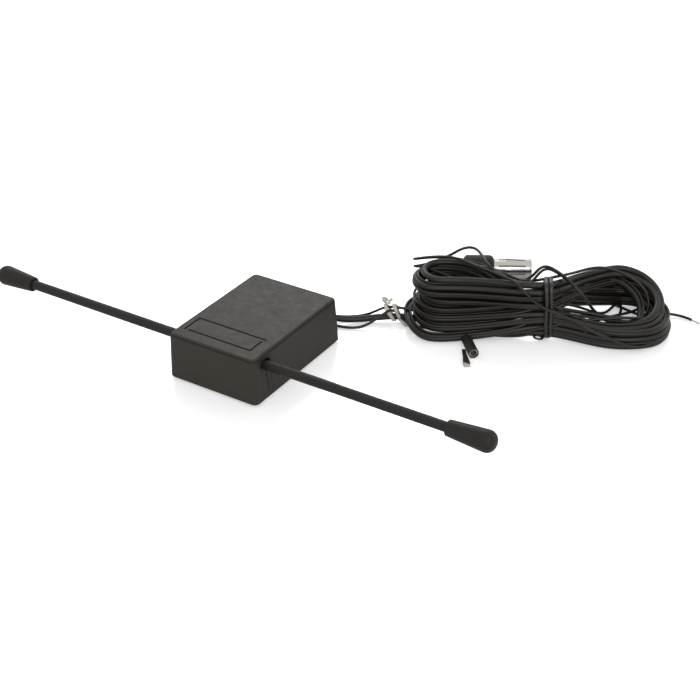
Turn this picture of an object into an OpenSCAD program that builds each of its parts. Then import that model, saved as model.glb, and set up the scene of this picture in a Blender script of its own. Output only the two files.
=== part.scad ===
// Window aerial for a car: an amplifier box that sticks to the glass, two sheathed rods
// that leave it left and right, and a lead that lies tied up in a hank beside it.
// The origin is the middle of the box's underside. +X runs along the rods, and -Y is the
// end of the box with the rods and the label frame.

/* [Housing] */
// Width of the cover at its lower edge, along the rods
case_w = 46.6; // [45:0.2:54]
// Depth of the cover at its lower edge
case_d = 64; // [62:0.5:76]
// Height of the whole housing with its pad
case_h = 22.1; // [21.5:0.1:26]
// Thickness of the cover's walls
wall = 1.8; // [1.4:0.1:2.2]
// Thickness of the cover's top
top_t = 2; // [1.4:0.1:2.4]
// Draft of the cover's walls, in degrees
draft = 2; // [0.5:0.5:3]
// Radius of the upright corners
corner_r = 2.5; // [2.2:0.1:4]
// Radius of the upper edge
edge_r = 1.4; // [0.6:0.1:1.8]
// Thickness of the base plate
base_t = 2; // [1.6:0.1:2.4]
// Running gap between the base plate and the cover
base_gap = 0.15; // [0.1:0.05:0.25]
// Thickness of the adhesive pad
pad_t = 1; // [0.8:0.1:1.6]
// Distance from the cover's side to the pad's edge
pad_inset = 1.2; // [0.8:0.1:1.6]

/* [Label frame] */
// Length of the frame in the top
frame_w = 34.3; // [28:0.1:36]
// Depth of the frame in the top
frame_d = 10.1; // [8:0.1:12]
// Distance from the cover's front to the frame
frame_front = 7.5; // [6:0.1:9]
// Width of the groove
groove_w = 0.55; // [0.4:0.05:0.8]
// Depth of the groove
groove_t = 0.4; // [0.2:0.05:0.6]
// Opening left at two opposite corners of the frame
frame_gap = 2.2; // [1.5:0.1:3]

/* [Rods] */
// Diameter of the rod's sheath
rod_d = 4.3; // [4:0.1:4.6]
// Diameter of the steel rod inside the sheath
core_d = 2.2; // [1.8:0.1:2.6]
// Distance from the middle of the box to the tip of a cap
rod_reach = 131; // [110:1:170]
// Distance from the cover's front to the rods
rod_front = 8.8; // [8.4:0.1:9.4]
// Height of the rods above the glass
rod_z = 16.8; // [16:0.1:17]
// Bare length of the steel rod at its inner end
bare_len = 7.6; // [7:0.1:9]
// Length of a cap
cap_len = 23.5; // [20:0.5:30]
// Depth to which the rod is pushed into its cap
cap_grip = 17; // [12:0.5:17.5]
// Diameter of a cap at its mouth
cap_mouth_d = 6.8; // [6.2:0.1:7.6]
// Diameter of a cap near its tip
cap_tip_d = 10.3; // [9:0.1:12]
// Width of the slot in the cover's side
slot_w = 6.4; // [6:0.1:7]
// Gap between the rod and the top of its slot
slot_gap = 0.9; // [0.6:0.1:1]
// Width of the slit between a tongue's two fingers
slit_w = 0.4; // [0.3:0.05:0.6]

/* [Circuit board] */
// Thickness of the board
board_t = 1.6; // [1.2:0.1:2]
// Height of the posts under the board
board_lift = 4; // [3.6:0.1:4.4]
// Gap between the board's edge and the cover's walls
board_gap = 1.8; // [1.4:0.1:2.4]
// Gap between the board's rear edge and the cover's rear wall
board_back = 9.8; // [9.6:0.1:12]
// Length of a rod terminal along the rod
terminal_w = 7; // [6.6:0.1:7.4]
// Depth of a rod terminal
terminal_d = 6.4; // [6:0.1:7]
// Diameter of the electrolytic capacitor
can_d = 6.3; // [5:0.1:7]
// Height of the electrolytic capacitor
can_h = 7.5; // [6:0.1:9]
// Width of a ceramic disc capacitor
disc_d = 5; // [4:0.1:5.6]
// Width of the ferrite core
ferrite_w = 7; // [6:0.1:7.6]
// Length of the ferrite core
ferrite_l = 6.4; // [5.4:0.1:7]
// Height of the ferrite core
ferrite_h = 4.2; // [3.8:0.1:4.6]
// Length of a resistor's body
resistor_len = 6.4; // [5:0.1:7]
// Diameter of a resistor's body
resistor_d = 2.2; // [1.8:0.1:2.6]

/* [Screws] */
// Diameter of the case screws
case_screw_d = 2.6; // [2.4:0.1:2.8]
// Length of the case screws
case_screw_len = 10; // [8:0.5:12]
// Diameter of the posts that take the case screws
post_d = 6; // [5.4:0.1:6.4]
// Diameter of the board and clamp screws
small_screw_d = 2; // [1.8:0.1:2.2]
// Length of the board and clamp screws
small_screw_len = 4.4; // [3.8:0.1:4.8]

/* [Lead] */
// Diameter of the coaxial lead
coax_d = 3.1; // [2.8:0.1:3.3]
// Diameter of the two thin wires
wire_d = 1.3; // [1.1:0.1:1.4]
// Height of the hank's left half
hank_h = 28; // [27:0.5:31]
// Height of the hank's right half
hank_low_h = 20; // [16:0.5:22]
// Width of the band round the hank
band_w = 3.8; // [3:0.1:5]
// Thickness of the band round the hank
band_t = 1.7; // [1.2:0.1:1.8]

/* [Aerial plug] */
// Diameter of the plug's moulded body
plug_d = 13.6; // [12.4:0.1:14]
// Length of the plug's moulded body with its spigot
plug_len = 17.5; // [16:0.5:20]
// Diameter of the slotted sleeve at its widest
sleeve_d = 10.4; // [9.8:0.1:11]
// Length of the slotted sleeve outside the body
sleeve_len = 17.8; // [16:0.1:20]
// Wall of the slotted sleeve
sleeve_t = 0.6; // [0.4:0.05:0.8]
// Number of slots in the sleeve
sleeve_slots = 8; // [4:1:10]
// Width of a slot in the sleeve
sleeve_slot_w = 0.7; // [0.5:0.1:1]
// Diameter of the plug's centre pin
pin_d = 3; // [2.8:0.1:3.4]
// Distance from the sleeve's rim back to the pin's tip
pin_back = 1.4; // [0.6:0.1:3]

/* [Twin lead end] */
// Diameter of the black sleeve on the lead's end
end_sleeve_d = 4.7; // [4.2:0.1:5.2]
// Length of the black sleeve outside the hank
end_sleeve_len = 13; // [11:0.5:16]
// Wall of the black sleeve
end_sleeve_t = 0.45; // [0.35:0.05:0.6]
// Length of the socket inside the sleeve's mouth
socket_len = 8; // [6:0.5:9]

/* [Hidden] */
$fn = 48;
HULL_FN = 32;
FIT = 0.05; // clearance of what is pushed into a hole
SEAT = 0.1; // clearance of what is laid in a recess
CUT = 1; // how far a cutter runs past the face it opens

// Heights
cover_z = pad_t;
base_top = pad_t + base_t;
ceiling = case_h - top_t;
board_z = base_top + board_lift;
board_top = board_z + board_t;

// Sides of the housing: the outside at a height, and the inside
lean = tan(draft);
function out_x(z) = case_w / 2 - (z - cover_z) * lean;
function out_y(z) = case_d / 2 - (z - cover_z) * lean;
in_x = out_x(case_h) - wall;
in_y = out_y(case_h) - wall;

// Rods
rod_y = rod_front - case_d / 2;
rod_end = rod_reach - cap_len + cap_grip;
slot_top = rod_z + rod_d / 2 + slot_gap;
terminal_in = in_x - 2 * SEAT - rod_d - terminal_w - 1.6;
core_in = terminal_in + 0.6;
sheath_in = core_in + bare_len;
terminal_top = ceiling - 0.5;

// Posts for the case screws: one between the rods, two in the rear corners
front_post = [0, rod_y - 2.2];
rear_post_x = in_x - post_d / 2 - 1;
rear_post_y = in_y - post_d / 2 - 0.8;
post_places = [front_post, [-rear_post_x, rear_post_y], [rear_post_x, rear_post_y]];
screw_head_d = case_screw_d * 1.9;
screw_head_t = case_screw_d * 0.5;

// Circuit board
board_x = in_x - board_gap;
board_front = -in_y + board_gap;
board_rear = in_y - board_back;
board_post_x = board_x - 3.2;
board_post_front = 11;
board_post_back = 4;
board_posts = [
    for (y = [rod_y + board_post_front, board_rear - board_post_back], s = [-1, 1])
        [s * board_post_x, y]
];
board_post_d = 5;
small_head_d = small_screw_d * 1.9;
small_head_t = small_screw_d * 0.7;

// Cable outlet and clamp, along the rear wall
clamp_reach = 5.4;
clamp_w = 3;
clamp_t = 1.4;
coax_x = rear_post_x - post_d / 2 - clamp_w / 2 - clamp_reach - 0.5;
wire_x = [coax_x - 3, coax_x + 3];
coax_rest = base_top + coax_d / 2 + FIT;
wire_rest = base_top + wire_d / 2 + FIT;
clamp_y = board_rear + 4;
clamp_z = base_top + coax_d + 2 * FIT;

// Routes of the lead's free stretches, from the box or the hank outwards
COAX_ROUTE = [
    [coax_x, clamp_y - 3, coax_rest], [coax_x, clamp_y + 2.5, coax_rest],
    [coax_x, case_d / 2, coax_rest], [coax_x + 0.8, 36.5, 4.4], [coax_x + 3.4, 40.4, 3.6],
    [14.4, 43.6, 2.6], [20, 47.4, 1.8], [26, 52.6, 1.8],
    [32, 57.2, 2.3], [37.6, 60.6, 2.3], [42.1, 62.8, 1.8]
];
SUPPLY_ROUTE = [
    [wire_x[0], clamp_y - 3, wire_rest], [wire_x[0], clamp_y, wire_rest],
    [wire_x[0], clamp_y + 4, wire_rest], [wire_x[0], case_d / 2, wire_rest],
    [wire_x[0] + 0.6, 36, 3.5], [wire_x[0] + 2.4, 40, 3], [8.8, 43.6, 2.4], [12.4, 46.6, 1.8],
    [16.4, 49.2, 1.4], [20, 52, 1.4], [23.6, 54.8, 2], [26.8, 56, 4],
    [29.8, 57, 6], [33, 57.9, 7.4], [36.4, 59, 7.6], [39.4, 60.7, 7],
    [42.1, 62.5, 6]
];
GROUND_ROUTE = [
    [wire_x[1], clamp_y - 3, wire_rest], [wire_x[1], clamp_y, wire_rest],
    [wire_x[1], clamp_y + 4, wire_rest], [wire_x[1], case_d / 2, wire_rest],
    [wire_x[1] + 1.2, 35.6, 2.8], [wire_x[1] + 3.8, 38.8, 1.6], [16.4, 40.4, 0.8], [20, 41.4, 0.7],
    [23.6, 43, 0.7], [26.6, 45.6, 1], [29.2, 48, 2.6], [31.8, 50.6, 4.8],
    [34, 53.2, 6.8], [35.4, 56, 7.6], [37.2, 58.2, 5.8], [39.2, 58.8, 3.2],
    [41.2, 58.6, 1.4], [43.7, 58.5, 0.8]
];
TAIL_ROUTE = [
    [51.6, 85.3, 9.5], [47, 85.9, 7.6], [42.4, 86.4, 5], [38.7, 87.3, 2.8],
    [35.5, 89.7, 1.8], [34.4, 94, 2.6], [35, 99.5, 4.8], [37.8, 103.7, 6.5],
    [41.9, 106.6, 6.8], [47.1, 109.6, 6.8], [52.3, 112.6, 6.8]
];
END_ROUTE = [
    [139.9, 127.5, 1.2], [142, 128.5, 1], [144.6, 129.4, 0.8], [148, 129.7, 0.7],
    [151.6, 128.9, 0.7]
];
BARE_ROUTE = [[151.6, 128.9, 0.7], [153.6, 128.3, 0.6], [155.9, 127.7, 0.5]];
bare_d = 0.8;

// Hank: its frame is turned in line with the lead, u along it and v across it
hank_turn = 33.4;
left_lobe = [85.5, 26.5, 17];
upper_lobe = [86, 29.5, 14];
upper_z = hank_h * 0.43;
right_lobe = [165.5, 24, 22.8];
waist_left = [121, 14.5, 6.5];
waist_right = [139, 14.5, 6.5];
waist_u = 130;
waist_top = hank_h - 0.5;
waist_half = 4.5;

// Plug: where its cable enters, and its turn about Z
plug_at = [41.9, 106.6, plug_d / 2];
plug_turn = 30;
spigot_len = 3;
sleeve_seat = 4;
sleeve_root_d = sleeve_d - 0.8;
ring_len = 3;
plug_front = plug_len + sleeve_len;

// End of the twin lead, at the hank's near side
end_at = [72.8, 58.9, end_sleeve_d / 2];
end_turn = -46.8;
end_tab_at = [76.2, 50.9];
end_tab_turn = -54.5;
end_tab_len = 11.4;
end_tab_flare = 1.9;

// Shared shapes

// One upright corner of a drafted shell, from z0 to z1, with its upper edge rounded
module shell_corner(x0, y0, z0, x1, y1, z1, r, edge) {
    translate([x0 - r, y0 - r, z0])
        cylinder(r = r, h = 0.02, $fn = HULL_FN);
    translate([x1 - r, y1 - r, z1 - edge])
        rotate_extrude($fn = HULL_FN)
            intersection() {
                translate([r - edge, 0])
                    circle(r = edge, $fn = HULL_FN);
                square([r, edge]);
            }
}

// A drafted box with round corners: half sizes at its lower and upper face
module drafted_box(x0, y0, z0, x1, y1, z1, r, edge) {
    hull()
        for (i = [0, 1], j = [0, 1])
            mirror([i, 0, 0])
                mirror([0, j, 0])
                    shell_corner(x0, y0, z0, x1, y1, z1, r, edge);
}

module case_outside(inset = 0) {
    drafted_box(
        out_x(cover_z) - inset, out_y(cover_z) - inset, cover_z,
        out_x(case_h) - inset, out_y(case_h) - inset, case_h, corner_r, edge_r
    );
}

module case_inside() {
    drafted_box(
        out_x(cover_z - CUT) - wall, out_y(cover_z - CUT) - wall, cover_z - CUT,
        out_x(ceiling) - wall, out_y(ceiling) - wall, ceiling,
        corner_r - wall + 0.8, 0.5
    );
}

// A flat plate with round corners, from z0 up
module round_plate(half_x, half_y, r, z0, t) {
    translate([0, 0, z0])
        linear_extrude(t)
            for (a = [0, 1])
                union() {
                    square([2 * (half_x - a * r), 2 * (half_y - (1 - a) * r)], center = true);
                    for (i = [-1, 1], j = [-1, 1])
                        translate([i * (half_x - r), j * (half_y - r)])
                            circle(r = r);
                }
}

// A lying cylinder along X
module rod_x(x0, x1, d) {
    translate([x0, 0, 0])
        rotate([0, 90, 0])
            cylinder(d = d, h = x1 - x0);
}

// A slot through a side wall for a rod: round at its top and open below
module rod_slot(w, top, z0, x0, x1) {
    translate([x0, rod_y, 0])
        rotate([90, 0, 90])
            linear_extrude(x1 - x0) {
                translate([-w / 2, z0])
                    square([w, top - z0 - w / 2]);
                translate([0, top - w / 2])
                    circle(d = w);
            }
}

// A slot through the rear wall for a cable that lies on the base plate
module outlet_slot(x, d, z) {
    translate([x, in_y - CUT, 0])
        rotate([-90, 0, 0])
            linear_extrude(wall + case_d - 2 * in_y + CUT) {
                translate([-d / 2, -z])
                    square([d, z]);
                translate([0, -z])
                    circle(d = d);
            }
}

// A pan-headed screw with a cross recess, its head's underside at z = 0, pointing down
module pan_screw(d, head_d, head_t, len) {
    difference() {
        union() {
            translate([0, 0, -len + d / 2])
                cylinder(d = d, h = len - d / 2);
            translate([0, 0, -len])
                cylinder(d1 = d * 0.3, d2 = d, h = d / 2);
            cylinder(d = head_d, h = head_t * 0.6);
            translate([0, 0, head_t * 0.6])
                cylinder(d1 = head_d, d2 = head_d * 0.7, h = head_t * 0.4);
        }
        for (a = [0, 90])
            rotate(a)
                translate([-head_d * 0.3, -head_d * 0.07, head_t * 0.5])
                    cube([head_d * 0.6, head_d * 0.14, head_t]);
    }
}

// Sweep of a round cord along its route
function unit(v) = v / norm(v);
function heading(p, i) = unit(p[min(i + 1, len(p) - 1)] - p[max(i - 1, 0)]);
function cord_ring(p, i, r, n) =
    let (t = heading(p, i), side = unit(cross(t, [0, 0, 1])), up = cross(side, t))
    [for (k = [0 : n - 1]) p[i] + r * (cos(360 * k / n) * side + sin(360 * k / n) * up)];

module cord(route, d, sides = 8) {
    rings = len(route);
    points = [for (i = [0 : rings - 1]) each cord_ring(route, i, d / 2, sides)];
    first = [[for (k = [0 : sides - 1]) k]];
    last = [[for (k = [sides - 1 : -1 : 0]) (rings - 1) * sides + k]];
    walls = [
        for (i = [0 : rings - 2], k = [0 : sides - 1])
            let (a = i * sides + k, b = i * sides + (k + 1) % sides)
            each [[a, a + sides, b + sides], [a, b + sides, b]]
    ];
    polyhedron(points = points, faces = concat(first, walls, last));
}

// Housing

// The cover's label frame: a rectangle whose groove is open at two opposite corners
module label_groove(x, y, w, d) {
    translate([x - groove_w / 2, y - groove_w / 2, case_h - groove_t])
        cube([w + groove_w, d + groove_w, groove_t + CUT]);
}

module label_frame() {
    x0 = -frame_w / 2 - 1.3;
    x1 = frame_w / 2 - 1.3;
    y0 = frame_front - case_d / 2;
    y1 = y0 + frame_d;
    label_groove(x0, y0, 0, frame_d);
    label_groove(x0, y1, frame_w + 1, 0);
    label_groove(x0 + frame_gap, y0, frame_w - frame_gap, 0);
    label_groove(x1, y0, 0, frame_d - frame_gap + 0.4);
}

module screw_post(p) {
    translate([p[0], p[1], base_top])
        cylinder(d = post_d, h = ceiling - base_top + 0.2);
}

module cover() {
    color([0.16, 0.155, 0.15])
        difference() {
            union() {
                difference() {
                    case_outside();
                    case_inside();
                }
                for (p = post_places)
                    screw_post(p);
                // ribs that tie the front post to the front wall and the rear posts to the rear wall
                translate([-0.6, -in_y - wall / 2, base_top])
                    cube([1.2, in_y + wall / 2 + front_post[1], ceiling - base_top + 0.2]);
                for (s = [-1, 1])
                    translate([s * rear_post_x - 0.6, rear_post_y, base_top])
                        cube([1.2, in_y + wall / 2 - rear_post_y, ceiling - base_top + 0.2]);
            }
            for (s = [0, 1])
                mirror([s, 0, 0])
                    rod_slot(slot_w, slot_top, cover_z - CUT, in_x - CUT, case_w / 2 + CUT);
            outlet_slot(coax_x, coax_d + 4 * FIT, coax_rest);
            for (x = wire_x)
                outlet_slot(x, wire_d + 4 * FIT, wire_rest);
            for (p = post_places)
                translate([p[0], p[1], base_top - CUT])
                    cylinder(d = case_screw_d - 0.4, h = case_screw_len + CUT);
            label_frame();
        }
}

// A tongue of the base plate that fills a rod slot below the rod, split into two fingers
module slot_tongue() {
    difference() {
        intersection() {
            case_outside(0.05);
            translate([in_x - 0.6, rod_y - slot_w / 2 + base_gap, cover_z])
                cube([wall + case_w, slot_w - 2 * base_gap, rod_z - cover_z - 0.8]);
        }
        translate([0, rod_y, rod_z])
            rod_x(in_x - CUT - 1, case_w, rod_d + 2 * FIT);
        translate([in_x - CUT - 1, rod_y, rod_z - rod_d])
            rotate([5, 0, 0])
                translate([0, -slit_w / 2, base_top + 0.4 - (rod_z - rod_d)])
                    cube([wall + case_w, slit_w, rod_z - base_top - 1]);
    }
}

module base_plate() {
    edge = wall + base_gap;
    color([0.14, 0.137, 0.133])
        difference() {
            union() {
                intersection() {
                    case_outside(edge);
                    translate([-case_w, -case_d, cover_z])
                        cube([2 * case_w, 2 * case_d, base_t]);
                }
                for (s = [0, 1])
                    mirror([s, 0, 0])
                        slot_tongue();
                for (p = board_posts)
                    translate([p[0], p[1], base_top - 0.1])
                        cylinder(d = board_post_d, h = board_lift + 0.1);
                for (s = [-1, 1])
                    translate([coax_x + s * clamp_reach, clamp_y, base_top - 0.1])
                        cylinder(d = clamp_w, h = clamp_z - base_top + 0.1);
            }
            for (p = board_posts)
                translate([p[0], p[1], base_top - 0.4])
                    cylinder(d = small_screw_d - 0.2, h = board_lift + CUT);
            for (s = [-1, 1])
                translate([coax_x + s * clamp_reach, clamp_y, cover_z + 0.4])
                    cylinder(d = small_screw_d - 0.2, h = clamp_z);
            for (p = post_places) {
                translate([p[0], p[1], cover_z - CUT])
                    cylinder(d = case_screw_d + 0.3, h = base_t + 2 * CUT);
                translate([p[0], p[1], cover_z - CUT])
                    cylinder(d = screw_head_d + 0.3, h = screw_head_t + CUT + 0.1);
            }
        }
}

module adhesive_pad() {
    color([0.1, 0.1, 0.1])
        round_plate(
            case_w / 2 - pad_inset, case_d / 2 - pad_inset, corner_r - 0.6, 0, pad_t
        );
}

// Rods

module on_rod() {
    translate([0, rod_y, rod_z])
        children();
}

module sheath() {
    color([0.13, 0.13, 0.13])
        on_rod()
            difference() {
                rod_x(sheath_in, rod_end, rod_d);
                rod_x(sheath_in - CUT, rod_end - 3, core_d + 2 * FIT);
            }
}

module rod() {
    color([0.75, 0.75, 0.77])
        on_rod()
            rod_x(core_in, rod_end - 3 - FIT, core_d);
}

// A push-on cap: a slow taper from its mouth, a round shoulder and a domed end
module cap() {
    mouth = rod_reach - cap_len;
    tip_r = cap_tip_d / 2;
    shoulder = cap_len - tip_r * 0.62;
    color([0.09, 0.09, 0.09])
        on_rod()
            translate([mouth, 0, 0])
                rotate([90, 0, 90])
                    difference() {
                        rotate_extrude()
                            difference() {
                                union() {
                                    polygon([
                                        [0, 0], [cap_mouth_d / 2 - 0.5, 0],
                                        [cap_mouth_d / 2, 0.5],
                                        [tip_r * 0.985, cap_len - tip_r * 1.05],
                                        [tip_r, shoulder], [0, shoulder]
                                    ]);
                                    intersection() {
                                        translate([0, shoulder])
                                            scale([1, 0.62])
                                                circle(r = tip_r);
                                        translate([0, shoulder])
                                            square([tip_r, tip_r]);
                                    }
                                }
                                translate([-tip_r, 0])
                                    square([tip_r, cap_len]);
                            }
                        translate([0, 0, -CUT])
                            cylinder(d = rod_d + 2 * FIT, h = cap_grip + CUT + FIT);
                    }
}

module terminal() {
    color([0.78, 0.65, 0.35])
        difference() {
            translate([terminal_in, rod_y - terminal_d / 2, board_top])
                cube([terminal_w, terminal_d, terminal_top - board_top]);
            on_rod()
                rod_x(terminal_in - CUT, terminal_in + terminal_w + CUT, core_d + 2 * FIT);
            translate([terminal_in + terminal_w / 2, rod_y, rod_z])
                cylinder(d = small_screw_d + 0.5 + 2 * FIT, h = terminal_top);
        }
}

// A grub screw that clamps the steel rod in its terminal
module terminal_screw() {
    d = small_screw_d + 0.5;
    foot = rod_z + core_d / 2 + FIT;
    translate([terminal_in + terminal_w / 2, rod_y, foot])
        difference() {
            cylinder(d = d, h = terminal_top - foot);
            translate([-d, -0.25, terminal_top - foot - 0.7])
                cube([2 * d, 0.5, CUT]);
        }
}

// Electronics

module circuit_board() {
    notch = post_d + 1.4;
    color([0.1, 0.36, 0.2])
        difference() {
            translate([-board_x, board_front, board_z])
                cube([2 * board_x, board_rear - board_front, board_t]);
            translate([-notch / 2, board_front - CUT, board_z - CUT])
                cube([notch, front_post[1] - board_front + notch / 2 + CUT, board_t + 2 * CUT]);
            for (p = board_posts)
                translate([p[0], p[1], board_z - CUT])
                    cylinder(d = small_screw_d + 0.3, h = board_t + 2 * CUT);
        }
}

// Rows of the board's parts, as distances from the rods backwards
core_row = 9;
can_row = 9.5;
disc_row = 17;
transistor_row = 18;
resistor_rows = [24, 29, 33];
disc_pitch = 7;
disc_shift = 2;
resistor_pitch = 9;
part_gap = 0.55;
ferrite_at = [0, rod_y + core_row];
can_at = [-(ferrite_w + can_d) / 2 - part_gap, rod_y + can_row];
transistor_at = [
    [ferrite_w / 2 + part_gap + 3.4, rod_y + can_row],
    [board_x - 6.4, rod_y + transistor_row]
];
disc_at = [for (k = [-1 : 1]) [k * disc_pitch - disc_shift, rod_y + disc_row]];
resistor_at = [
    for (k = [-1 : 1]) [k * resistor_pitch, rod_y + resistor_rows[0]],
    [-resistor_pitch, rod_y + resistor_rows[1]], [resistor_pitch, rod_y + resistor_rows[2]]
];
bore_d = 1.9;

module ferrite_core() {
    r = ferrite_h / 2;
    span = ferrite_w - 2 * r;
    color([0.25, 0.25, 0.27])
        translate([ferrite_at[0], ferrite_at[1] - ferrite_l / 2, board_top + r])
            rotate([-90, 0, 0])
                linear_extrude(ferrite_l)
                    difference() {
                        union() {
                            square([span, ferrite_h], center = true);
                            for (s = [-1, 1])
                                translate([s * span / 2, 0])
                                    circle(r = r);
                        }
                        for (s = [-1, 1])
                            translate([s * span / 2, 0])
                                circle(d = bore_d);
                    }
}

// Two loops of copper wire through the ferrite core's bores
module core_windings() {
    t = 0.6;
    span = ferrite_w - ferrite_h;
    color([0.72, 0.42, 0.22])
        for (n = [-1, 1])
            translate([ferrite_at[0], ferrite_at[1], board_top + ferrite_h / 2 + n * 0.4 - t / 2])
                linear_extrude(t)
                    difference() {
                        square([span + t, ferrite_l + 2 * t + 0.4], center = true);
                        square([span - t, ferrite_l + 0.4], center = true);
                    }
}

// A plastic transistor: a flat-faced round body on three legs
module transistor(p) {
    translate([p[0], p[1], board_top]) {
        translate([0, 0, 2])
            intersection() {
                cylinder(d = 4.8, h = 4.6);
                translate([-3, -1.6, 0])
                    cube([6, 6, 5]);
            }
        for (k = [-1, 0, 1])
            translate([k * 1.27 - 0.22, -0.22, 0])
                cube([0.44, 0.44, 2.1]);
    }
}

module electrolytic_capacitor() {
    color([0.12, 0.14, 0.3])
        translate([can_at[0], can_at[1], board_top])
            difference() {
                cylinder(d = can_d, h = can_h);
                translate([0, 0, 1.4])
                    rotate_extrude()
                        translate([can_d / 2 + 0.2, 0])
                            circle(d = 1);
                for (a = [0, 90])
                    rotate(a)
                        translate([-can_d * 0.3, -0.15, can_h - 0.2])
                            cube([can_d * 0.6, 0.3, CUT]);
            }
}

module disc_capacitor(p) {
    translate([p[0], p[1], board_top]) {
        translate([0, 0.9, disc_d / 2 + 1])
            rotate([90, 0, 0])
                cylinder(d = disc_d, h = 1.8);
        for (s = [-1, 1])
            translate([s * 1.25 - 0.25, -0.25, 0])
                cube([0.5, 0.5, 1.9]);
    }
}

module resistor(p) {
    translate([p[0], p[1], board_top + resistor_d / 2 + 0.1]) {
        difference() {
            rod_x(-resistor_len / 2, resistor_len / 2, resistor_d);
            rotate([0, 90, 0])
                translate([0, 0, -resistor_len * 0.22])
                    difference() {
                        cylinder(d = resistor_d + CUT, h = resistor_len * 0.44);
                        cylinder(d = resistor_d * 0.86, h = resistor_len * 0.44);
                    }
        }
        for (s = [-1, 1]) {
            translate([s * (resistor_len / 2 + 0.4) - 0.5, -0.25, -0.25])
                cube([1, 0.5, 0.5]);
            translate([s * (resistor_len / 2 + 0.65) - 0.25, -0.25, -resistor_d / 2 - 0.1])
                cube([0.5, 0.5, resistor_d / 2 + 0.35]);
        }
    }
}

// Screws and the inner cable clamp

module board_screws() {
    color([0.7, 0.7, 0.72])
        for (p = board_posts)
            translate([p[0], p[1], board_top])
                pan_screw(small_screw_d - 0.25, small_head_d, small_head_t, small_screw_len);
}

module case_screws() {
    color([0.35, 0.35, 0.36])
        for (p = post_places)
            translate([p[0], p[1], cover_z + screw_head_t])
                rotate([180, 0, 0])
                    pan_screw(
                        case_screw_d - 0.45, screw_head_d, screw_head_t - 0.05,
                        case_screw_len - screw_head_t + 1
                    );
}

module cable_clamp() {
    reach = clamp_reach + clamp_w / 2;
    color([0.75, 0.75, 0.72])
        translate([coax_x, clamp_y, clamp_z])
            difference() {
                translate([-reach, -clamp_w / 2, 0])
                    cube([2 * reach, clamp_w, clamp_t]);
                for (s = [-1, 1])
                    translate([s * clamp_reach, 0, -CUT])
                        cylinder(d = small_screw_d + 0.2, h = clamp_t + 2 * CUT);
            }
}

module clamp_screws() {
    color([0.7, 0.7, 0.72])
        for (s = [-1, 1])
            translate([coax_x + s * clamp_reach, clamp_y, clamp_z + clamp_t])
                pan_screw(small_screw_d - 0.25, small_head_d - 0.4, small_head_t, small_screw_len);
}

// Lead

module in_hank() {
    rotate([0, 0, hank_turn])
        children();
}

module lobe(p) {
    translate([p[0], p[1]])
        circle(r = p[2], $fn = HULL_FN);
}

// The lead's turns as one solid: two lobes and a waist where the band goes round
module cable_hank() {
    color([0.07, 0.07, 0.07])
        in_hank()
            union() {
                linear_extrude(upper_z)
                    hull() {
                        lobe(left_lobe);
                        lobe(waist_left);
                    }
                linear_extrude(hank_h)
                    hull() {
                        lobe(upper_lobe);
                        lobe(waist_left);
                    }
                linear_extrude(hank_low_h)
                    hull() {
                        lobe(waist_right);
                        lobe(right_lobe);
                    }
                translate([waist_left[0], waist_left[1] - waist_half, band_t])
                    cube([waist_right[0] - waist_left[0], 2 * waist_half, waist_top - band_t]);
            }
}

// The band: two strands that lie side by side round the waist
module band_outline(grow) {
    offset(r = grow)
        translate([-waist_half, band_t])
            square([2 * waist_half, waist_top - band_t]);
}

module hank_tie() {
    color([0.05, 0.05, 0.05])
        in_hank()
            for (s = [-1, 1])
                translate([waist_u + s * band_w / 4, waist_left[1], 0])
                    rotate([90, 0, 90])
                        translate([0, 0, -band_w / 4])
                            linear_extrude(band_w / 2)
                                difference() {
                                    band_outline(band_t - 0.02);
                                    band_outline(FIT);
                                }
}

// The clear strip that holds the thin wires to the coaxial lead beside the box
tie_at = [35.2, 58.8, 0];
module tie_outline(grow) {
    hull() {
        translate([0.3, 2.3])
            circle(r = coax_d / 2 + FIT + grow, $fn = HULL_FN);
        translate([-1.1, 7.1])
            circle(r = wire_d + 0.6 + grow, $fn = HULL_FN);
    }
}

module wire_tie() {
    color([0.85, 0.86, 0.88, 0.6])
        translate(tie_at)
            rotate([0, 0, hank_turn])
                rotate([90, 0, 90])
                    translate([0, 0, -1.2])
                        linear_extrude(2.4)
                            difference() {
                                tie_outline(0.6);
                                tie_outline(0);
                            }
}

// Plug

module on_plug() {
    translate(plug_at)
        rotate([0, 0, plug_turn])
            rotate([90, 0, 90])
                children();
}

module plug_body() {
    r = plug_d / 2;
    color([0.1, 0.1, 0.1])
        on_plug()
            difference() {
                rotate_extrude()
                    difference() {
                        union() {
                            polygon([
                                [0, 0], [2.4, 0], [3.1, spigot_len], [r - 1.2, spigot_len],
                                [r, spigot_len + 1.2], [r, plug_len - 2.4], [0, plug_len - 2.4]
                            ]);
                            square([r - 2.4, plug_len]);
                            translate([r - 2.4, plug_len - 2.4])
                                circle(r = 2.4);
                        }
                        translate([-r, 0])
                            square([r, plug_len]);
                    }
                translate([0, 0, -CUT])
                    cylinder(d = coax_d + 2 * FIT, h = plug_len);
                translate([0, 0, plug_len - sleeve_seat])
                    cylinder(d = sleeve_root_d + 2 * FIT, h = sleeve_seat + CUT);
            }
}

// The slotted sleeve: it swells a little between its root and its front ring
module sleeve_profile(r_root, r_wide) {
    polygon([
        [0, plug_len - sleeve_seat + FIT], [r_root, plug_len - sleeve_seat + FIT],
        [r_root, plug_len + 0.6], [r_wide, plug_len + sleeve_len * 0.3],
        [r_wide, plug_len + sleeve_len * 0.42], [r_root, plug_front - ring_len],
        [r_root, plug_front], [0, plug_front]
    ]);
}

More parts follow.
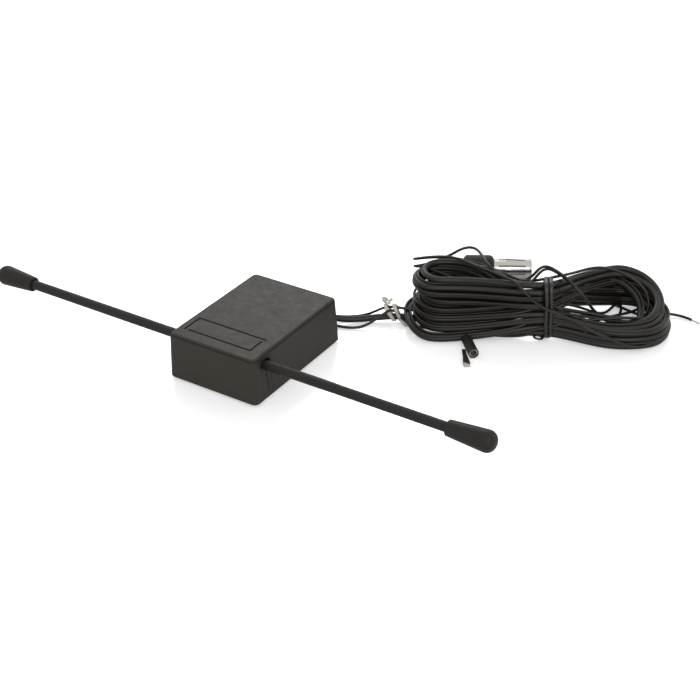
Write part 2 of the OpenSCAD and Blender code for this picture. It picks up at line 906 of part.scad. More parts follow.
module plug_sleeve() {
    slot_len = sleeve_len - ring_len - 2.2;
    color([0.85, 0.86, 0.88])
        on_plug()
            difference() {
                rotate_extrude()
                    difference() {
                        union() {
                            sleeve_profile(sleeve_root_d / 2, sleeve_d / 2);
                            translate([sleeve_root_d / 2 - 0.15, plug_front - 0.6])
                                circle(r = 0.45);
                        }
                        translate([0, -CUT])
                            square([sleeve_root_d / 2 - sleeve_t, plug_front + 2 * CUT]);
                    }
                for (k = [0 : sleeve_slots - 1])
                    rotate(360 * k / sleeve_slots)
                        translate([0, -sleeve_slot_w / 2, plug_len + 2.2])
                            cube([sleeve_d, sleeve_slot_w, slot_len]);
            }
}

// The disc that carries the pin, with a collar towards the front
module plug_insulator() {
    r = sleeve_root_d / 2 - sleeve_t - FIT;
    color([0.9, 0.88, 0.82])
        on_plug()
            translate([0, 0, plug_len - sleeve_seat + 0.3])
                difference() {
                    union() {
                        cylinder(r = r, h = sleeve_seat + 0.7);
                        cylinder(r = pin_d / 2 + 0.9, h = sleeve_seat + 4);
                    }
                    translate([0, 0, -CUT])
                        cylinder(d = pin_d + 2 * FIT, h = plug_front);
                }
}

module plug_pin() {
    r = pin_d / 2;
    z0 = plug_len - sleeve_seat + 0.3;
    len = plug_front - pin_back - z0;
    color([0.85, 0.86, 0.88])
        on_plug()
            translate([0, 0, z0])
                union() {
                    cylinder(r = r, h = len - r);
                    translate([0, 0, len - r])
                        rotate_extrude()
                            intersection() {
                                circle(r = r);
                                square([r, r]);
                            }
                }
}

// Twin lead end

module on_end() {
    translate(end_at)
        rotate([0, 0, end_turn])
            rotate([90, 0, 90])
                children();
}

module end_sleeve() {
    color([0.08, 0.08, 0.08])
        on_end()
            difference() {
                cylinder(d = end_sleeve_d, h = end_sleeve_len);
                translate([0, 0, end_sleeve_len - socket_len - 0.6])
                    cylinder(d = end_sleeve_d - 2 * end_sleeve_t, h = socket_len + CUT);
            }
}

module end_socket() {
    d = end_sleeve_d - 2 * end_sleeve_t - 2 * FIT;
    color([0.8, 0.8, 0.8])
        on_end()
            translate([0, 0, end_sleeve_len - socket_len - 0.5])
                difference() {
                    cylinder(d = d, h = socket_len);
                    translate([0, 0, 1])
                        cylinder(d = d - 0.8, h = socket_len);
                }
}

// A flat tab that leaves from beside the sleeve and flares towards its end
module end_tab() {
    color([0.3, 0.3, 0.3])
        translate([end_tab_at[0], end_tab_at[1], 0])
            rotate([0, 0, end_tab_turn])
                linear_extrude(1.2)
                    polygon([
                        [-1.5, -0.8], [3, -0.9], [end_tab_len - end_tab_flare, -1.7],
                        [end_tab_len, -1.3], [end_tab_len, 1.3],
                        [end_tab_len - end_tab_flare, 1.5], [3, 0.8], [-1.5, 0.8]
                    ]);
}

// Node assemblies

module terminal_screws() {
    color([0.7, 0.7, 0.72])
        for (s = [0, 1])
            mirror([s, 0, 0])
                terminal_screw();
}

module transistors() {
    color([0.1, 0.1, 0.1])
        for (p = transistor_at)
            transistor(p);
}

module ceramic_capacitors() {
    color([0.8, 0.5, 0.2])
        for (p = disc_at)
            disc_capacitor(p);
}

module resistors() {
    color([0.75, 0.68, 0.5])
        for (p = resistor_at)
            resistor(p);
}

module coax_lead() {
    color([0.08, 0.08, 0.08])
        cord(COAX_ROUTE, coax_d);
}

module supply_wire() {
    color([0.1, 0.1, 0.1])
        cord(SUPPLY_ROUTE, wire_d);
}

module ground_wire() {
    color([0.1, 0.1, 0.1])
        cord(GROUND_ROUTE, wire_d);
}

module coax_tail() {
    color([0.08, 0.08, 0.08])
        cord(TAIL_ROUTE, coax_d);
}

module supply_wire_end() {
    color([0.1, 0.1, 0.1])
        cord(END_ROUTE, wire_d);
}

module bare_wire_end() {
    color([0.75, 0.72, 0.68])
        cord(BARE_ROUTE, bare_d);
}

cover();
base_plate();
adhesive_pad();
mirror([1, 0, 0]) sheath();  // sheath_left
sheath();  // sheath_right
mirror([1, 0, 0]) rod();  // rod_left
rod();  // rod_right
mirror([1, 0, 0]) cap();  // cap_left
cap();  // cap_right
mirror([1, 0, 0]) terminal();  // terminal_left
terminal();  // terminal_right
terminal_screws();
circuit_board();
ferrite_core();
core_windings();
transistors();
electrolytic_capacitor();
ceramic_capacitors();
resistors();
board_screws();
case_screws();
cable_clamp();
clamp_screws();
coax_lead();
supply_wire();
ground_wire();
wire_tie();
cable_hank();
hank_tie();
coax_tail();
plug_body();
plug_sleeve();
plug_insulator();
plug_pin();
end_sleeve();
end_socket();
end_tab();
supply_wire_end();
bare_wire_end();
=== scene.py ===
"""Window aerial: the looks of the part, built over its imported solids.

The amplifier box sticks to the glass, two sheathed rods leave it left and right, and its
lead lies beside it, wound into a hank that a band holds at the waist. The hank is laid
out in millimetres in a frame of its own: u along it, v across it and z up.
"""
import math
import random

import bmesh
import bpy
from mathutils import Matrix, Vector, noise


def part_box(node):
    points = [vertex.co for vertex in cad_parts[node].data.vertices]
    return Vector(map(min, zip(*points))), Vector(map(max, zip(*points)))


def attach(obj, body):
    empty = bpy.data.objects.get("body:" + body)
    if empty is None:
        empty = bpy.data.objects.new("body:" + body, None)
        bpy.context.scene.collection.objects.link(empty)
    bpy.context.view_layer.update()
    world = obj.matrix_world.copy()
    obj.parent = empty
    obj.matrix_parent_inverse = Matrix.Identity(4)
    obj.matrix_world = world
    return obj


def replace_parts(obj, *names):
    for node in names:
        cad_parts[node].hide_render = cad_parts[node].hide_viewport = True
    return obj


bl_info = {
    "name": "Window aerial",
    "version": (1, 0, 0),
    "blender": (4, 5, 0),
    "location": "View3D > Sidebar > Aerial",
    "description": "Builds the lead, the ties, the plug and the finishes of a window aerial",
    "category": "Object",
}

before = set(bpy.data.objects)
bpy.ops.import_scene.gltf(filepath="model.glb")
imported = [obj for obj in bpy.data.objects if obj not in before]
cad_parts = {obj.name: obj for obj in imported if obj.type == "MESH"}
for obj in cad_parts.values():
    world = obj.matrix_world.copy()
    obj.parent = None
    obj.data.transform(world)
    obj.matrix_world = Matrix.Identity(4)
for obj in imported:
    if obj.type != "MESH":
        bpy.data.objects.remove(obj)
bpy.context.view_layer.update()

MM = 0.001
ROOT = "root"


def linear(code):
    """Turn an sRGB hex colour into the linear one that shaders take."""
    parts = [int(code[i:i + 2], 16) / 255 for i in (0, 2, 4)]
    return tuple(c / 12.92 if c <= 0.04045 else ((c + 0.055) / 1.055) ** 2.4 for c in parts)


def size(label, text, default, low=0.0, high=1.0):
    """A length in metres that the sidebar shows in the scene's unit."""
    return bpy.props.FloatProperty(
        name=label, description=text, default=default, min=low, max=high,
        precision=4, subtype="DISTANCE", unit="LENGTH",
    )


def turn(label, text, degrees):
    """An angle, given here in degrees."""
    return bpy.props.FloatProperty(
        name=label, description=text, default=math.radians(degrees),
        subtype="ANGLE", unit="ROTATION",
    )


def colour(label, text, code):
    """A colour, given here as sRGB hex."""
    return bpy.props.FloatVectorProperty(
        name=label, description=text, default=linear(code), size=3,
        min=0.0, max=1.0, subtype="COLOR",
    )


class LeadSizes(bpy.types.PropertyGroup):
    """Sizes of the lead, its hank and its ties."""

    coax_d: size("Coaxial lead", "Diameter of the coaxial lead's jacket", 0.0031)
    wire_d: size("Thin wire", "Diameter of a thin wire's jacket", 0.0013)
    band_d: size("Band strand", "Diameter of one strand of the band", 0.002)
    strip_w: size("Clear strip", "Width of the clear strip that ties the wires", 0.0028)
    hank_turn: turn("Hank's turn", "Angle between the hank and the rods", 33.4)
    coax_sides: bpy.props.IntProperty(
        name="Sides", description="Faces round the coaxial lead", default=14, min=8, max=32)
    turns: bpy.props.IntProperty(
        name="Turns", description="Whole turns in the hank", default=8, min=4, max=8)


class CapSizes(bpy.types.PropertyGroup):
    """Sizes of the caps on the rods' ends."""

    reach: size("Reach", "From the middle of the box to the cap's tip", 0.1299)
    length: size("Length", "Length of the cap", 0.0209)
    grip: size("Grip", "How deep the rod sits in the cap", 0.0162)
    tip_d: size("Tip", "Diameter near the tip", 0.0098)
    mouth_d: size("Mouth", "Diameter at the mouth", 0.0068)
    bore_d: size("Bore", "Diameter of the hollow", 0.0044)
    tip_round: size("Tip's edge", "How far the tip's edge is rounded", 0.0042)


class Finishes(bpy.types.PropertyGroup):
    """Base colours of the finishes."""

    abs_black: colour("Cover", "Warm black of the moulded cover", "34312c")
    vinyl_black: colour("Jacket", "Black of the vinyl jackets", "1b1916")
    rubber_black: colour("Cap", "Black of the rod caps", "23201d")
    band_black: colour("Band", "Black of the shiny band", "1e1c1a")
    nickel: colour("Nickel", "Bright nickel plate", "c4c1bb")
    clear: colour("Strip", "Milky tint of the clear strip", "ddd6cc")
    floor: colour("Floor", "White of the floor and the backdrop", "f4f4f4")


class Stage(bpy.types.PropertyGroup):
    """The camera's place, turn and lens."""

    camera_x: size("Camera X", "Camera's place along the rods", 0.3069, -5, 5)
    camera_y: size("Camera Y", "Camera's place across the rods", -0.3906, -5, 5)
    camera_z: size("Camera Z", "Camera's height", 0.3127, -5, 5)
    yaw: turn("Yaw", "Turn of the view about the upright", 33.396)
    pitch: turn("Pitch", "How far the view looks down", 32.015)
    roll: turn("Roll", "Tilt of the picture", -1.141)
    lens: bpy.props.FloatProperty(
        name="Lens", description="Focal length for a 36 mm film", default=68.15, unit="CAMERA")


def add_node(tree, kind, *feeds, **settings):
    """Add a shader node. Feeds go into its first inputs, and settings into what they name.

    Either is a plain value, a socket, or a node, of which the first output in use counts.
    """
    made = tree.nodes.new("ShaderNode" + kind)
    named = {}
    for key, value in settings.items():
        if hasattr(made, key):
            setattr(made, key, value)
        else:
            named[key.replace("_", " ")] = value
    inputs = [socket for socket in made.inputs if socket.enabled]
    plugs = list(zip(inputs, feeds))
    plugs += [(socket, named.pop(socket.name)) for socket in inputs if socket.name in named]
    if named:
        raise KeyError(f"{kind} has no input {', '.join(named)}")
    for socket, value in plugs:
        if isinstance(value, bpy.types.Node):
            value = next(output for output in value.outputs if output.enabled)
        if isinstance(value, bpy.types.NodeSocket):
            tree.links.new(value, socket)
        elif socket.type == "RGBA":
            socket.default_value = (*value, 1)
        else:
            socket.default_value = value
    return made


def new_material(name):
    """Start a material with an empty tree."""
    made = bpy.data.materials.new(name)
    made.use_nodes = True
    made.node_tree.nodes.clear()
    return made, made.node_tree


def shade(rgb, factor):
    """A lighter or darker copy of a colour."""
    return tuple(min(1.0, c * factor) for c in rgb)


def per(millimetres):
    """The scale of a pattern whose features are about so many millimetres wide."""
    return 1 / (millimetres * MM)


def finish(name, tints, gloss, relief, *patterns, reach=(0, 1), **constants):
    """A finish with a fine grain, which also tints it unless a second, wider pattern does.

    A pattern is its width in millimetres, its detail and its coarseness. Gloss is the
    roughness at both ends of the grain's reach, and relief a depth in millimetres and a
    strength. The rest is set on the shader.
    """
    made, tree = new_material(name)
    at = add_node(tree, "TexCoord").outputs["Object"]
    noises = [
        add_node(tree, "TexNoise", at, Scale=per(width), Detail=detail, Roughness=coarse)
        for width, detail, coarse in patterns
    ]
    grain, clouds = noises[0], noises[-1]
    base = add_node(tree, "Mix", data_type="RGBA", Factor=clouds, A=tints[0], B=tints[1])
    rough = add_node(tree, "MapRange", Value=grain, From_Min=reach[0], From_Max=reach[1],
                     To_Min=gloss[0], To_Max=gloss[1])
    bumps = add_node(tree, "Bump", Height=grain, Distance=relief[0] * MM,
                     Strength=relief[1])
    shader = add_node(tree, "BsdfPrincipled", Base_Color=base, Roughness=rough,
                      Normal=bumps, **constants)
    add_node(tree, "OutputMaterial", shader)
    return made


def moulded_abs(rgb):
    """ABS, injection moulded in a finely etched tool: an even satin with a fine grain, and
    painted shade in the label grooves, along the top's edge and round the rods' slots.
    """
    made, tree = new_material("moulded_abs")
    at = add_node(tree, "TexCoord").outputs["Object"]
    clouds = add_node(tree, "TexNoise", at, Scale=per(14), Detail=3, Roughness=0.55)
    grain = add_node(tree, "TexNoise", at, Scale=per(0.45), Detail=2, Roughness=0.55)
    wear = add_node(tree, "TexNoise", at, Scale=per(3.5), Detail=5, Roughness=0.7)
    lines = label_lines(tree, at)
    base = add_node(tree, "Mix", data_type="RGBA", Factor=clouds,
                    A=shade(rgb, 0.92), B=shade(rgb, 1.1))
    # Painted shade: the colour darkens in the label frame's grooves
    base = add_node(tree, "Mix", data_type="RGBA", Factor=lines, A=shade(rgb, 0.22), B=base)
    # Painted shade: the colour darkens along the top's edge and round the rods' slots
    base = add_node(tree, "Mix", data_type="RGBA", Factor=painted_edge_and_slot_shade(tree, at),
                    A=shade(rgb, 0.45), B=base)
    rough = add_node(tree, "MapRange", Value=wear, From_Min=0.3, From_Max=0.7,
                     To_Min=0.36, To_Max=0.5)
    relief = add_node(tree, "Bump", Height=grain, Distance=0.012 * MM, Strength=0.6)
    relief = add_node(tree, "Bump", Height=lines, Distance=0.3 * MM, Strength=0.7,
                      Normal=relief)
    shader = add_node(tree, "BsdfPrincipled", Base_Color=base, Roughness=rough,
                      Normal=relief, Specular_IOR_Level=0.14)
    add_node(tree, "OutputMaterial", shader)
    return made


# The label frame's four grooves in the cover: low x, high x, low y and high y in millimetres
LABEL_LINES = [
    (-18.5, -18.4, -24.5, -14.4), (-18.45, 16.8, -14.45, -14.35),
    (-16.25, 15.85, -24.55, -24.45), (15.8, 15.9, -24.5, -16.6),
]
# Height of the cover's top, how far below it a groove is drawn, and where the shade
# painted in its bottom ends and its side runs out, from its middle line
TOP_Z = 22.2 * MM
GROOVE_DEEP = 2 * MM
GROOVE_DARK = 0.34 * MM
GROOVE_SIDE = 0.52 * MM


def label_lines(tree, at):
    """One away from the label frame's grooves, nought inside them, on top of the cover: it
    darkens the colour there as painted shade and cuts the grooves' relief.
    """
    found = None
    for x0, x1, y0, y1 in LABEL_LINES:
        middle = ((x0 + x1) / 2 * MM, (y0 + y1) / 2 * MM, TOP_Z)
        half = ((x1 - x0) / 2 * MM, (y1 - y0) / 2 * MM, GROOVE_DEEP)
        away = add_node(tree, "VectorMath", at, middle, operation="SUBTRACT")
        away = add_node(tree, "VectorMath", away, operation="ABSOLUTE")
        past = add_node(tree, "VectorMath", away, half, operation="SUBTRACT")
        past = add_node(tree, "VectorMath", past, operation="MAXIMUM")
        past = add_node(tree, "VectorMath", past, operation="LENGTH")
        edge = add_node(tree, "MapRange", Value=past, From_Min=GROOVE_DARK,
                        From_Max=GROOVE_SIDE, To_Min=0, To_Max=1)
        found = edge if found is None else add_node(
            tree, "Math", found, edge, operation="MINIMUM")
    return found


# Heights between which a shade line is painted along the top's edge, and over which that fades
EDGE_FOOT = (20.7 * MM, 21.1 * MM)
EDGE_HEAD = (21.4 * MM, 21.8 * MM)
# Middle of a rod's slot, how far round it the shade is painted at full depth, and where that
# fades
SLOT_MIDDLE = (22.6 * MM, 23.2 * MM, 17.4 * MM)
SLOT_SHADE = (3.3 * MM, 5.6 * MM)


def painted_edge_and_slot_shade(tree, at):
    """Nought where shade is painted along the top's edge and round the rods' slots, one
    elsewhere.
    """
    place = add_node(tree, "SeparateXYZ", at)
    below = add_node(tree, "MapRange", Value=place.outputs["Z"], From_Min=EDGE_FOOT[0],
                     From_Max=EDGE_FOOT[1], To_Min=1, To_Max=0)
    above = add_node(tree, "MapRange", Value=place.outputs["Z"], From_Min=EDGE_HEAD[0],
                     From_Max=EDGE_HEAD[1], To_Min=0, To_Max=1)
    edge = add_node(tree, "Math", below, above, operation="MAXIMUM")
    beside = add_node(tree, "VectorMath", at, operation="ABSOLUTE")
    slot = add_node(tree, "VectorMath", beside, SLOT_MIDDLE, operation="DISTANCE")
    slot = add_node(tree, "MapRange", Value=slot, From_Min=SLOT_SHADE[0],
                    From_Max=SLOT_SHADE[1], To_Min=0, To_Max=1)
    rear = add_node(tree, "MapRange", Value=place.outputs["Y"], From_Min=-1 * MM,
                    From_Max=1 * MM, To_Min=0, To_Max=1)
    slot = add_node(tree, "Math", slot, rear, operation="MAXIMUM")
    return add_node(tree, "Math", edge, slot, operation="MINIMUM")


def moulded_base(rgb):
    """ABS, moulded with a duller grain: the base plate and its tongues."""
    return finish("matt_moulded_abs", (shade(rgb, 0.8), rgb), (0.5, 0.66), (0.02, 0.7),
                  (0.4, 3, 0.55), (9, 3, 0.55), Specular_IOR_Level=0.22)


def closed_foam():
    """Polyethylene foam, cut from sheet: closed cells of about half a millimetre."""
    made, tree = new_material("closed_cell_foam")
    at = add_node(tree, "TexCoord").outputs["Object"]
    pores = add_node(tree, "TexVoronoi", at, Scale=per(0.55)).outputs["Distance"]
    base = add_node(tree, "Mix", data_type="RGBA", Factor=pores,
                    A=linear("141414"), B=linear("2b2b2a"))
    rough = add_node(tree, "MapRange", Value=pores, To_Min=0.75, To_Max=0.95)
    relief = add_node(tree, "Bump", Height=pores, Distance=0.08 * MM, Strength=0.8)
    shader = add_node(tree, "BsdfPrincipled", Base_Color=base, Roughness=rough, Normal=relief)
    add_node(tree, "OutputMaterial", shader)
    return made


def extruded_vinyl(rgb):
    """Vinyl, extruded over the steel rod: matt, with faint die lines along it."""
    made, tree = new_material("extruded_vinyl_sheath")
    at = add_node(tree, "TexCoord").outputs["Object"]
    drawn = add_node(tree, "Mapping", at, Scale=(0.02, 1, 1))
    lines = add_node(tree, "TexNoise", drawn, Scale=per(0.35), Detail=2, Roughness=0.55)
    dust = add_node(tree, "TexNoise", at, Scale=per(2.2), Detail=6, Roughness=0.7)
    base = add_node(tree, "Mix", data_type="RGBA", Factor=dust,
                    A=shade(rgb, 0.85), B=shade(rgb, 1.35))
    rough = add_node(tree, "MapRange", Value=dust, From_Min=0.3, From_Max=0.7,
                     To_Min=0.42, To_Max=0.6)
    relief = add_node(tree, "Bump", Height=lines, Distance=0.015 * MM, Strength=0.8)
    shader = add_node(tree, "BsdfPrincipled", Base_Color=base, Roughness=rough,
                      Normal=relief, Specular_IOR_Level=0.25)
    add_node(tree, "OutputMaterial", shader)
    return made


def moulded_rubber(rgb):
    """Rubber, compression moulded: smooth and half dull, with handling marks."""
    return finish("moulded_rubber", (shade(rgb, 0.85), shade(rgb, 1.3)), (0.38, 0.58),
                  (0.015, 0.5), (1.6, 6, 0.75), (6, 3, 0.55), reach=(0.3, 0.75),
                  Specular_IOR_Level=0.18)


def cable_vinyl(rgb):
    """Vinyl jacket, extruded: half gloss, with streaks along the lead and some dust."""
    made, tree = new_material("extruded_cable_vinyl")
    coords = add_node(tree, "TexCoord").outputs
    drawn = add_node(tree, "Mapping", coords["UV"], Scale=(0.006, 0.05, 1))
    streaks = add_node(tree, "TexNoise", drawn, Scale=per(1), Detail=3, Roughness=0.55)
    dust = add_node(tree, "TexNoise", coords["Object"], Scale=per(1.1), Detail=5,
                    Roughness=0.7)
    waves = add_node(tree, "TexNoise", coords["Object"], Scale=per(4), Detail=2,
                     Roughness=0.55)
    base = add_node(tree, "Mix", data_type="RGBA", Factor=dust,
                    A=shade(rgb, 0.8), B=shade(rgb, 1.3))
    rough = add_node(tree, "MapRange", Value=streaks, To_Min=0.3, To_Max=0.44)
    relief = add_node(tree, "Bump", Height=dust, Distance=0.01 * MM, Strength=0.5)
    relief = add_node(tree, "Bump", Height=waves, Distance=0.05 * MM, Strength=0.35,
                      Normal=relief)
    shader = add_node(tree, "BsdfPrincipled", Base_Color=base, Roughness=rough,
                      Normal=relief, Specular_IOR_Level=0.32)
    add_node(tree, "OutputMaterial", shader)
    return made


def glossy_vinyl(rgb):
    """Vinyl-coated tie, dipped: glossy, slightly wavy along its length."""
    return finish("dipped_band_vinyl", (shade(rgb, 0.85), shade(rgb, 1.2)), (0.13, 0.24),
                  (0.05, 0.4), (1.8, 2, 0.55))


def clear_strip(rgb):
    """Polypropylene film, folded: milky, creased and shiny along its creases."""
    return finish("creased_clear_film", (shade(rgb, 0.72), rgb), (0.12, 0.4), (0.12, 0.8),
                  (1.3, 4, 0.7), Transmission_Weight=0.3, IOR=1.49)


def nickel_plate(rgb):
    """Nickel, electroplated on turned brass: bright, with fine marks and a little haze."""
    made, tree = new_material("nickel_plate")
    at = add_node(tree, "TexCoord").outputs["Object"]
    marks = add_node(tree, "TexNoise", at, Scale=per(0.5), Detail=3, Roughness=0.55)
    haze = add_node(tree, "TexNoise", at, Scale=per(2.4), Detail=4, Roughness=0.7)
    base = add_node(tree, "Mix", data_type="RGBA", Factor=haze, A=shade(rgb, 0.82), B=rgb)
    rough = add_node(tree, "MapRange", Value=haze, To_Min=0.14, To_Max=0.3)
    relief = add_node(tree, "Bump", Height=marks, Distance=0.006 * MM, Strength=0.5)
    shader = add_node(tree, "BsdfPrincipled", Base_Color=base, Roughness=rough,
                      Normal=relief, Metallic=1)
    add_node(tree, "OutputMaterial", shader)
    return made


# Where the tab leaves its sleeve, along y, and where it is all bare
TAB_SLEEVED = 42.9 * MM
TAB_BARE = 42.4 * MM


def sleeved_tab(black, metal):
    """A tinned tab in a vinyl sleeve that stops short of its flared end."""
    made, tree = new_material("sleeved_tab")
    at = add_node(tree, "TexCoord").outputs["Object"]
    marks = add_node(tree, "TexNoise", at, Scale=per(0.5), Detail=4, Roughness=0.7)
    bare = add_node(tree, "MapRange", Value=add_node(tree, "SeparateXYZ", at).outputs["Y"],
                    From_Min=TAB_BARE, From_Max=TAB_SLEEVED, To_Min=1, To_Max=0)
    base = add_node(tree, "Mix", data_type="RGBA", Factor=bare, A=shade(black, 1.1), B=metal)
    rough = add_node(tree, "MapRange", Value=marks, To_Min=0.2, To_Max=0.5)
    relief = add_node(tree, "Bump", Height=marks, Distance=0.05 * MM, Strength=0.6)
    shader = add_node(tree, "BsdfPrincipled", Base_Color=base, Roughness=rough,
                      Normal=relief, Metallic=bare, Specular_IOR_Level=0.3)
    add_node(tree, "OutputMaterial", shader)
    return made


def bare_metal(name, dark, light, smooth, rough, grain=0.6):
    """A drawn or turned metal, plain and a little dull."""
    return finish(name, (linear(dark), linear(light)), (smooth, rough), (0.01, 0.5),
                  (grain, 4, 0.65), Metallic=1)


def plain_part(name, dark, light, smooth, rough, grain, relief):
    """A part inside that is no metal: lacquer, ceramic, moulding compound or laminate."""
    return finish(name, (linear(dark), linear(light)), (smooth, rough), (relief, 0.6),
                  (grain, 4, 0.6))


# Every finish by its short name, once make_materials has run
FINISHES = {}


def make_materials(colours):
    """Make every finish once."""
    FINISHES.update(
        cover=moulded_abs(colours.abs_black),
        base=moulded_base(colours.abs_black),
        foam=closed_foam(),
        sheath=extruded_vinyl(colours.vinyl_black),
        rubber=moulded_rubber(colours.rubber_black),
        jacket=cable_vinyl(colours.vinyl_black),
        tab=sleeved_tab(colours.vinyl_black, colours.nickel),
        band=glossy_vinyl(colours.band_black),
        strip=clear_strip(colours.clear),
        nickel=nickel_plate(colours.nickel),
        steel=bare_metal("drawn_steel", "8d8e90", "b9babd", 0.25, 0.45),
        brass=bare_metal("turned_brass", "a8823f", "cfab63", 0.22, 0.4),
        copper=bare_metal("enamelled_copper", "8c4a22", "b86a38", 0.2, 0.35),
        tinned=bare_metal("tinned_copper", "a9a39b", "d8d2ca", 0.2, 0.4, 0.3),
        laminate=plain_part("solder_mask_laminate", "0c3a1c", "155a2c", 0.25, 0.4, 0.7, 0.01),
        ferrite=plain_part("sintered_ferrite", "2c2c2e", "47474a", 0.5, 0.75, 0.3, 0.03),
        compound=plain_part("moulding_compound", "161616", "262626", 0.4, 0.6, 0.3, 0.01),
        can=plain_part("shrink_sleeve", "10193a", "1c2a58", 0.2, 0.35, 2.0, 0.01),
        ceramic=plain_part("dipped_ceramic", "a8672a", "c98438", 0.3, 0.5, 0.8, 0.03),
        lacquer=plain_part("resistor_lacquer", "b09a6c", "cdb98b", 0.3, 0.5, 0.6, 0.01),
        nylon=plain_part("natural_nylon", "cfc9b8", "e6e1d3", 0.35, 0.5, 0.9, 0.01),
    )


# What each CAD node that stays is made of
NODE_FINISH = {
    "cover": "cover", "base_plate": "base", "adhesive_pad": "foam",
    "sheath_left": "sheath", "sheath_right": "sheath", "rod_left": "steel",
    "rod_right": "steel", "terminal_left": "brass", "terminal_right": "brass",
    "terminal_screws": "steel", "circuit_board": "laminate", "ferrite_core": "ferrite",
    "core_windings": "copper", "transistors": "compound", "electrolytic_capacitor": "can",
    "ceramic_capacitors": "ceramic", "resistors": "lacquer", "board_screws": "steel",
    "case_screws": "steel", "cable_clamp": "nylon", "clamp_screws": "steel",
    "plug_body": "rubber", "plug_sleeve": "nickel", "plug_insulator": "nylon",
    "plug_pin": "nickel", "end_sleeve": "jacket", "end_socket": "tinned",
    "end_tab": "tab",
}


def dress(*names):
    """Give the CAD nodes that stay their finish."""
    for name in names:
        body = bpy.data.objects[name]
        body.data.materials.clear()
        body.data.materials.append(FINISHES[NODE_FINISH[name]])


def finished(bm, name, material, smooth=True):
    """Turn a bmesh into a piece that rides on the object."""
    mesh = bpy.data.meshes.new(name)
    for face in bm.faces:
        face.smooth = smooth
    bm.to_mesh(mesh)
    bm.free()
    mesh.materials.append(FINISHES[material])
    piece = bpy.data.objects.new(name, mesh)
    bpy.context.collection.objects.link(piece)
    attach(piece, ROOT)
    return piece


# Points worked out between two controls before a path is cut into even steps
FINE = 10


def smooth_path(controls, step):
    """A smooth curve near the control points, cut into even steps."""
    pts = [controls[0]] * 2 + list(controls) + [controls[-1]] * 2
    fine = []
    for a, b, c, d in zip(pts, pts[1:], pts[2:], pts[3:]):
        for i in range(FINE):
            t = i / FINE
            fine.append(
                ((1 - t) ** 3 * a + (3 * t ** 3 - 6 * t * t + 4) * b
                 + (-3 * t ** 3 + 3 * t * t + 3 * t + 1) * c + t ** 3 * d) / 6)
    fine.append(Vector(controls[-1]))
    lengths = [0.0]
    for p, q in zip(fine, fine[1:]):
        lengths.append(lengths[-1] + (q - p).length)
    count = max(2, round(lengths[-1] / step))
    path, k = [], 0
    for i in range(count + 1):
        want = lengths[-1] * i / count
        while k < len(fine) - 2 and lengths[k + 1] < want:
            k += 1
        span = lengths[k + 1] - lengths[k]
        path.append(fine[k].lerp(fine[k + 1], (want - lengths[k]) / span if span else 0))
    return path


def tube(bm, path, radius, sides, closed=False):
    """Sweep a circle along a path, with the length and the turn round it as UV."""
    layer = bm.loops.layers.uv.verify()
    count = len(path)
    rings, along = [], 0.0
    side = None
    for i, p in enumerate(path):
        ahead = path[(i + 1) % count] if closed or i < count - 1 else p
        behind = path[i - 1] if closed or i else p
        heading = (ahead - behind).normalized()
        if side is None:
            side = heading.orthogonal().normalized()
        side = (side - heading * side.dot(heading)).normalized()
        other = heading.cross(side)
        r = radius(i / (count - 1)) if callable(radius) else radius
        ring = [
            bm.verts.new(p + (side * math.cos(a) + other * math.sin(a)) * r)
            for a in (2 * math.pi * k / sides for k in range(sides))
        ]
        rings.append((ring, along))
        along += (ahead - p).length
    pairs = list(zip(rings, rings[1:]))
    if closed:
        pairs.append((rings[-1], (rings[0][0], along)))
    for (ring, s), (following, t) in pairs:
        for k in range(sides):
            m = (k + 1) % sides
            face = bm.faces.new((ring[k], ring[m], following[m], following[k]))
            face.normal_update()
            for loop, uv in zip(face.loops, ((k, s), (k + 1, s), (k + 1, t), (k, t))):
                loop[layer].uv = (uv[0] / sides, uv[1])
    if not closed:
        bm.faces.new(reversed(rings[0][0]))
        bm.faces.new(rings[-1][0])
    return rings


# The lead's free stretches, in metres, from the box or the hank outwards
COAX_ROUTE = [
    (0.00636, 0.02066, 0.0046), (0.00636, 0.02616, 0.0046), (0.00636, 0.032, 0.0046),
    (0.00716, 0.0365, 0.0044), (0.00976, 0.0404, 0.0036), (0.0144, 0.0436, 0.0026),
    (0.02, 0.0474, 0.0018), (0.026, 0.0526, 0.0018), (0.032, 0.0572, 0.0023),
    (0.0376, 0.0606, 0.0023), (0.0421, 0.0628, 0.0018),
]
SUPPLY_ROUTE = [
    (0.00336, 0.02066, 0.0037), (0.00336, 0.02366, 0.0037), (0.00336, 0.02766, 0.0037),
    (0.00336, 0.032, 0.0037), (0.00396, 0.036, 0.0035), (0.00576, 0.04, 0.003),
    (0.0088, 0.0436, 0.0024), (0.0124, 0.0466, 0.0018), (0.0164, 0.0492, 0.0014),
    (0.02, 0.052, 0.0014), (0.0236, 0.0548, 0.002), (0.0268, 0.056, 0.004),
    (0.0298, 0.057, 0.006), (0.033, 0.0579, 0.0074), (0.0364, 0.059, 0.0076),
    (0.0394, 0.0607, 0.007), (0.0421, 0.0625, 0.006),
]
GROUND_ROUTE = [
    (0.00936, 0.02066, 0.0037), (0.00936, 0.02366, 0.0037), (0.00936, 0.02766, 0.0037),
    (0.00936, 0.032, 0.0037), (0.01056, 0.0356, 0.0028), (0.01316, 0.0388, 0.0016),
    (0.0164, 0.0404, 0.0008), (0.02, 0.0414, 0.0007), (0.0236, 0.043, 0.0007),
    (0.0266, 0.0456, 0.001), (0.0292, 0.048, 0.0026), (0.0318, 0.0506, 0.0048),
    (0.034, 0.0532, 0.0068), (0.0354, 0.056, 0.0076), (0.0372, 0.0582, 0.0058),
    (0.0392, 0.0588, 0.0032), (0.0412, 0.0586, 0.0014), (0.0437, 0.0585, 0.0008),
]
